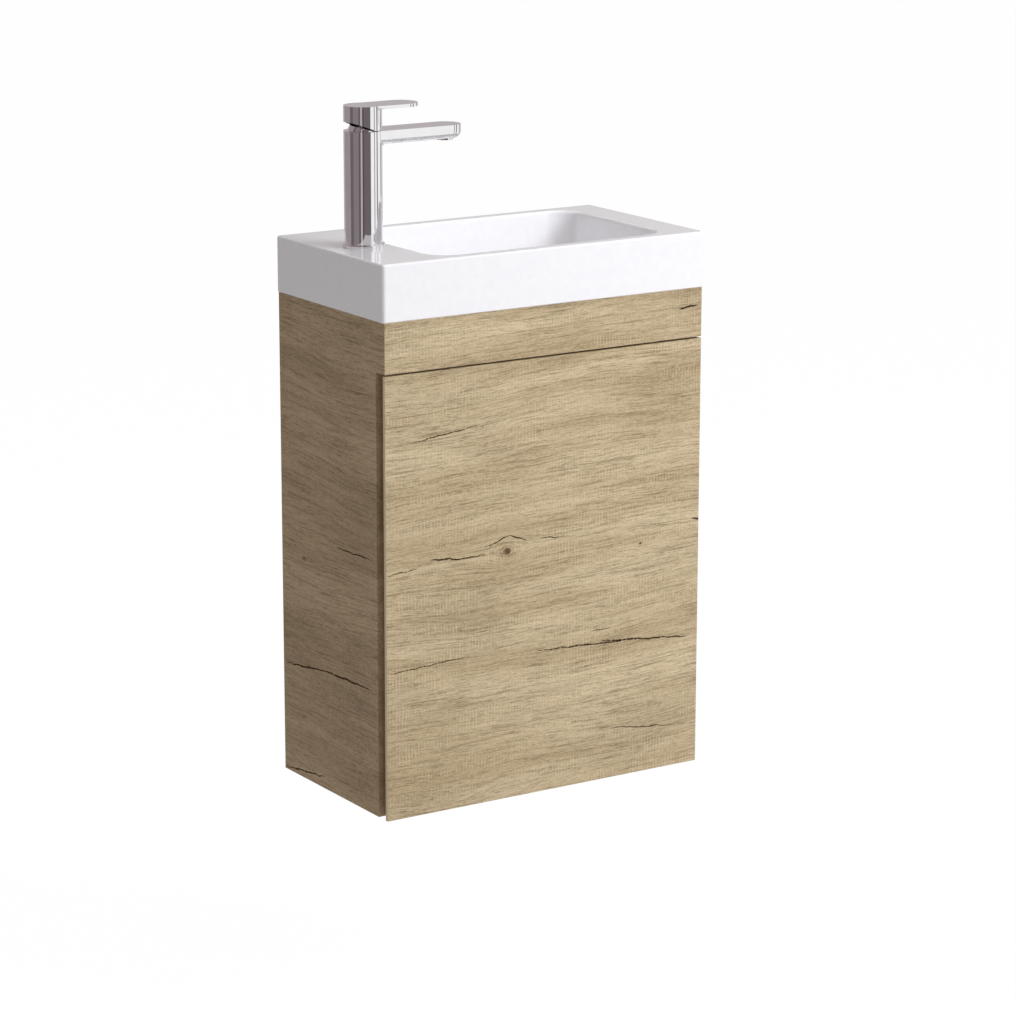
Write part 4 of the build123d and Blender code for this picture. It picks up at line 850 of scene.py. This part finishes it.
@dataclass(frozen=True)
class Screws:
    """Cross-recessed screws in place of a node's plain ones, each set where the CAD has it."""

    kit: Kit
    repeater: Repeater
    node: str
    shank_r: float = 2.0
    pitch: float = 1.4

    def places(self) -> list[tuple[Vector, Vector, float, float]]:
        """Each screw's tip, the way from its tip to its head, its length and its head's radius."""
        found = []
        for points in self.kit.islands(self.node):
            low = Vector([min(p[i] for p in points) for i in range(3)])
            high = Vector([max(p[i] for p in points) for i in range(3)])
            size = high - low
            axis = max(range(3), key=lambda i: size[i])
            middle = (low + high) / 2
            ends = {}
            for end, level in (("low", low[axis]), ("high", high[axis])):
                near = [p for p in points if abs(p[axis] - level) < 0.01 * MM]
                ends[end] = max(((p - middle).length ** 2 - (p[axis] - middle[axis]) ** 2) ** 0.5 for p in near)
            sign = 1.0 if ends["high"] > ends["low"] else -1.0
            way = Vector([sign if i == axis else 0.0 for i in range(3)])
            tip = middle.copy()
            tip[axis] = low[axis] if sign > 0 else high[axis]
            found.append((tip, way, size[axis] / MM, max(ends.values()) / MM))
        return found

    def build(self) -> bpy.types.Object:
        """Make the screws of one node."""
        kinds: dict[tuple[float, float], list[tuple[Vector, Vector]]] = {}
        for tip, way, length, head_r in self.places():
            kinds.setdefault((round(length, 1), round(head_r, 1)), []).append((tip, way))
        made = []
        for number, ((length, head_r), places) in enumerate(sorted(kinds.items())):
            item = self.screw(length, head_r)
            material = self.kit.materials[self.kit.slots[self.node]]
            made.append(self.repeater.build(f"look_{self.node}_{number}", item, material, places))
        whole = made[0]
        if len(made) > 1:
            with bpy.context.temp_override(active_object=whole, selected_editable_objects=made):
                bpy.ops.object.join()
        whole.name = f"look_{self.node}"
        return self.kit.dress(whole, self.node)

    def screw(self, length: float, head_r: float) -> bpy.types.Object:
        """One screw, tip at the origin and head up, with a cross stamped in its head."""
        head_t = 1.6
        seat = length - head_t
        profile = [(0.3, 0.0), (self.shank_r * 0.6, 1.2)]
        z = 1.6
        while z < seat - self.pitch - 0.6:
            profile += [(self.shank_r * 0.74, z), (self.shank_r * 0.98, z + self.pitch * 0.5)]
            z += self.pitch
        profile += [(self.shank_r * 0.8, z), (self.shank_r * 0.8, seat), (head_r, seat)]
        profile += [(head_r, seat + head_t * 0.45), (head_r * 0.82, seat + head_t * 0.86), (head_r * 0.5, length)]
        item = Turned(tuple(profile), 24).build("screw")
        shell = bmesh.new()
        for turn in (0, math.pi / 2):
            size = Matrix.Diagonal((head_r * 1.1 * MM, head_r * 0.24 * MM, head_t * 1.1 * MM, 1))
            spin = Matrix.Rotation(turn, 4, "Z") @ size
            bmesh.ops.create_cube(shell, size=1.0, matrix=Matrix.Translation((0, 0, length * MM)) @ spin)
        tool = as_object("tool", shell)
        cut = item.modifiers.new("cross", "BOOLEAN")
        cut.object = tool
        cut.solver = "EXACT"
        cut.use_self = True
        bake(item)
        bpy.data.objects.remove(tool)
        return finish_mesh(item, 0.0)


@dataclass(frozen=True)
class RibbedNut:
    """A slip nut of the trap with grip ribs standing round it."""

    kit: Kit
    repeater: Repeater
    node: str
    ribs: int = 24
    rib_w: float = 1.6
    sink: float = 0.9

    def build(self) -> bpy.types.Object:
        """Make the nut's own body a little slimmer and stand the ribs round it."""
        low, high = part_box(self.node)
        size = high - low
        axis = min(range(3), key=lambda i: size[i])
        middle = (low + high) / 2
        radius = max(size) / 2
        body = softened(self.kit, self.node, 0.5)
        shrink = 1 - self.sink * MM / radius
        for vert in body.data.vertices:
            out = vert.co - middle
            out[axis] = 0.0
            if out.length > radius - 1.2 * MM:
                vert.co -= out * (1 - shrink)
        half = size[axis] / MM / 2 - 1.5
        profile = ((0.2, -half), (self.rib_w / 2, -half + 0.8), (self.rib_w / 2, half - 0.8), (0.2, half))
        item = Turned(profile, 12).build("rib")
        places = []
        ring = radius - self.rib_w / 2 * MM
        for number in range(self.ribs):
            turn = 2 * math.pi * number / self.ribs
            flat = [math.cos(turn) * ring, math.sin(turn) * ring]
            spot = Vector([flat.pop() if i != axis else 0.0 for i in range(3)])
            places.append((middle + spot, Vector([1.0 if i == axis else 0.0 for i in range(3)])))
        material = self.kit.materials[self.kit.slots[self.node]]
        ribs = self.repeater.build(f"look_{self.node}_ribs", item, material, places)
        ribs.data.shade_smooth()
        ribs.data.set_sharp_from_angle(angle=math.radians(50))
        self.kit.dress(ribs, self.node)
        return self.kit.dress(body, self.node)


@dataclass(frozen=True)
class AeratorScreen:
    """The jet insert under the spout: a dark disc with rows of small round studs."""

    kit: Kit
    repeater: Repeater
    stud_r: float = 0.5
    spacing: float = 1.9

    def build(self) -> None:
        """Stand studs under the insert on a hexagonal pattern."""
        low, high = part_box("tap_aerator_mesh")
        middle, radius = (low + high) / 2, (high.x - low.x) / 2 / MM
        item = Turned(((self.stud_r, -0.2), (self.stud_r, 0.5), (self.stud_r * 0.6, 0.7)), 10).build("stud")
        places = []
        rows = int(radius / self.spacing) + 1
        for row in range(-rows, rows + 1):
            for column in range(-rows, rows + 1):
                x = (column + 0.5 * (row % 2)) * self.spacing
                y = row * self.spacing * math.sqrt(3) / 2
                if math.hypot(x, y) < radius - 1.2:
                    spot = Vector((middle.x + x * MM, middle.y + y * MM, low.z))
                    places.append((spot, Vector((0.0, 0.0, -1.0))))
        material = self.kit.materials["dark_plastic"]
        studs = self.repeater.build("look_tap_aerator_studs", item, material, places)
        studs.data.shade_smooth()
        studs.data.set_sharp_from_angle(angle=math.radians(50))
        self.kit.dress(studs, "tap_aerator_mesh")
        self.kit.dress(softened(self.kit, "tap_aerator_mesh", 0.2), "tap_aerator_mesh")


@dataclass(frozen=True)
class Fittings:
    """Everything else: the CAD shapes with softened edges in their own finishes."""

    kit: Kit
    done: tuple[str, ...]
    edges: tuple[tuple[str, float], ...] = (
        ("tap_body", 0.8), ("tap_lever", 0.7), ("tap_base_ring", 0.2), ("tap_dome_nut", 0.2), ("waste_plug_cap", 0.3),
        ("hangers", 0.6), ("wall_plates", 0.4), ("trap_body", 0.5), ("trap_cup", 1.0), ("hinge_plates", 0.5),
    )

    def build(self) -> None:
        """Make a soft copy of every node that has no piece of its own."""
        edges = dict(self.edges)
        for node in sorted(self.kit.nodes):
            if node not in self.done:
                self.kit.dress(softened(self.kit, node, edges.get(node, 0.15)), node)


@dataclass(frozen=True)
class Studio:
    """Camera, floor, world and lights for the photo's view."""

    eye: tuple[float, float, float] = (-2.0053, -3.2659, 0.7417)
    yaw: float = 32.71
    pitch: float = 13.85
    roll: float = 0.08
    lens: float = 123.89
    floor_z: float = -0.72
    room: str = "#9C9998"
    key_power: float = 86.0
    top_power: float = 16.0
    mirror: tuple[tuple[float, str], ...] = (
        (-180, "#B9B3B4"), (-135, "#9C9293"), (-78, "#6F6467"), (-58, "#857D7F"), (-22, "#62575A"), (-12, "#BDB2B6"),
        (-1, "#5C5155"), (9, "#6F676A"), (50, "#FFFFFF"), (73, "#8C888B"), (79, "#FFFFFF"), (92, "#7D7A7C"),
        (101, "#FFFFFF"), (127, "#A19EA0"), (138, "#D6D4D5"), (160, "#B9B3B4"),
    )

    def build(self) -> None:
        """Set everything up."""
        self.camera()
        self.floor()
        self.world()
        self.light("key", (1.7, -2.5, 1.8), self.key_power, 1.7, "#FCFCFF")
        self.light("top", (0.1, -0.3, 2.4), self.top_power, 1.2, "#FFFFFF")
        bpy.context.scene.view_settings.view_transform = "Standard"

    def camera(self) -> None:
        """The photo's camera."""
        data = bpy.data.cameras.new("photo_camera")
        data.lens = self.lens
        data.clip_end = 60.0
        camera = bpy.data.objects.new("photo_camera", data)
        bpy.context.scene.collection.objects.link(camera)
        yaw, pitch = math.radians(self.yaw), math.radians(self.pitch)
        ahead = Vector((math.sin(yaw) * math.cos(pitch), math.cos(yaw) * math.cos(pitch), -math.sin(pitch)))
        turn = ahead.to_track_quat("-Z", "Y").to_matrix().to_4x4()
        camera.matrix_world = Matrix.Translation(self.eye) @ turn @ Matrix.Rotation(math.radians(self.roll), 4, "Z")
        bpy.context.scene.camera = camera

    def floor(self) -> None:
        """A plain pale floor that looks white and keeps the shadow."""
        shell = bmesh.new()
        spot = Matrix.Translation((0.0, 0.0, self.floor_z))
        bmesh.ops.create_grid(shell, x_segments=1, y_segments=1, size=14.0, matrix=spot)
        floor = as_object("floor", shell)
        material, graph = new_material("pale_floor")
        paint = graph.add("BsdfDiffuse", {"Color": linear("#F2F2F2")})
        white = graph.add("Emission", {"Color": (1.0, 1.0, 1.0, 1.0), "Strength": 1.02})
        rays = {name: graph.add("LightPath", out=name) for name in ("Is Camera Ray", "Is Glossy Ray")}
        back = graph.add("NewGeometry", out="Incoming")
        ahead = graph.add("VectorMath", {0: back, "Scale": -1.0}, operation="SCALE")
        mirror = graph.add("Emission", {"Color": self.mirror_room(graph, ahead), "Strength": 1.0})
        both = graph.add("MixShader", {0: rays["Is Glossy Ray"], 1: paint, 2: mirror})
        both = graph.add("MixShader", {0: rays["Is Camera Ray"] * 0.96, 1: both, 2: white})
        graph.add("OutputMaterial", {"Surface": both})
        floor.data.materials.append(material)

    def mirror_room(self, graph: Graph, way: Signal) -> Signal:
        """What a mirror sees of the studio: upright bands, dark behind the camera's left, white to its right.

        Args:
            graph: the world's or the floor's graph.
            way: the direction that the ray travels.

        Returns:
            The colour seen in that direction.
        """
        east, north, _ = (graph.add("SeparateXYZ", {0: way}, out=i) for i in range(3))
        yaw = math.radians(self.yaw)
        across = east * math.cos(yaw) - north * math.sin(yaw)
        toward = east * -math.sin(yaw) - north * math.cos(yaw)
        turn = across.calc("ARCTAN2", toward) / (2 * math.pi) + 0.5
        stops = tuple((degrees / 360 + 0.5, colour) for degrees, colour in self.mirror)
        return graph.steps(turn, stops, 0.006)

    def world(self) -> None:
        """White to the camera, a soft grey room to everything else, and a banded studio to mirrors."""
        world = bpy.data.worlds.new("studio")
        world.use_nodes = True
        bpy.context.scene.world = world
        graph = Graph(world.node_tree)
        rays = {name: graph.add("LightPath", out=name) for name in ("Is Camera Ray", "Is Glossy Ray")}
        mirror = self.mirror_room(graph, graph.add("TexCoord", out="Generated"))
        colour = graph.mix(rays["Is Glossy Ray"], linear(self.room), mirror)
        colour = graph.mix(rays["Is Camera Ray"], colour, (1.0, 1.0, 1.0, 1.0))
        back = graph.add("Background", {"Color": colour, "Strength": 1.0})
        graph.add("OutputWorld", {"Surface": back})

    @staticmethod
    def light(name: str, spot: tuple[float, float, float], power: float, size: float, colour: str) -> None:
        """A square soft light that faces the unit."""
        data = bpy.data.lights.new(name, "AREA")
        data.energy, data.size = power, size
        data.color = linear(colour)[:3]
        lamp = bpy.data.objects.new(name, data)
        lamp.visible_glossy = False
        bpy.context.scene.collection.objects.link(lamp)
        lamp.location = spot
        lamp.rotation_euler = (Vector((0.0, -0.1, -0.1)) - lamp.location).to_track_quat("-Z", "Y").to_euler()


def main() -> None:
    """Build every look over the frame, and the studio."""
    kit = Kit(frame)
    repeater = Repeater()
    Basin(kit).build()
    Boards(kit).build()
    screws = ("carcass_screws", "hinge_cup_screws", "hinge_plate_screws")
    for node in screws:
        Screws(kit, repeater, node).build()
    nuts = ("trap_inlet_nut", "trap_outlet_nut")
    for node in nuts:
        RibbedNut(kit, repeater, node).build()
    AeratorScreen(kit, repeater).build()
    boards = tuple(node for node, _ in Boards.looks)
    Fittings(kit, ("basin", "tap_aerator_mesh", *boards, *screws, *nuts)).build()
    Studio().build()


if __name__ == "__main__":
    main()
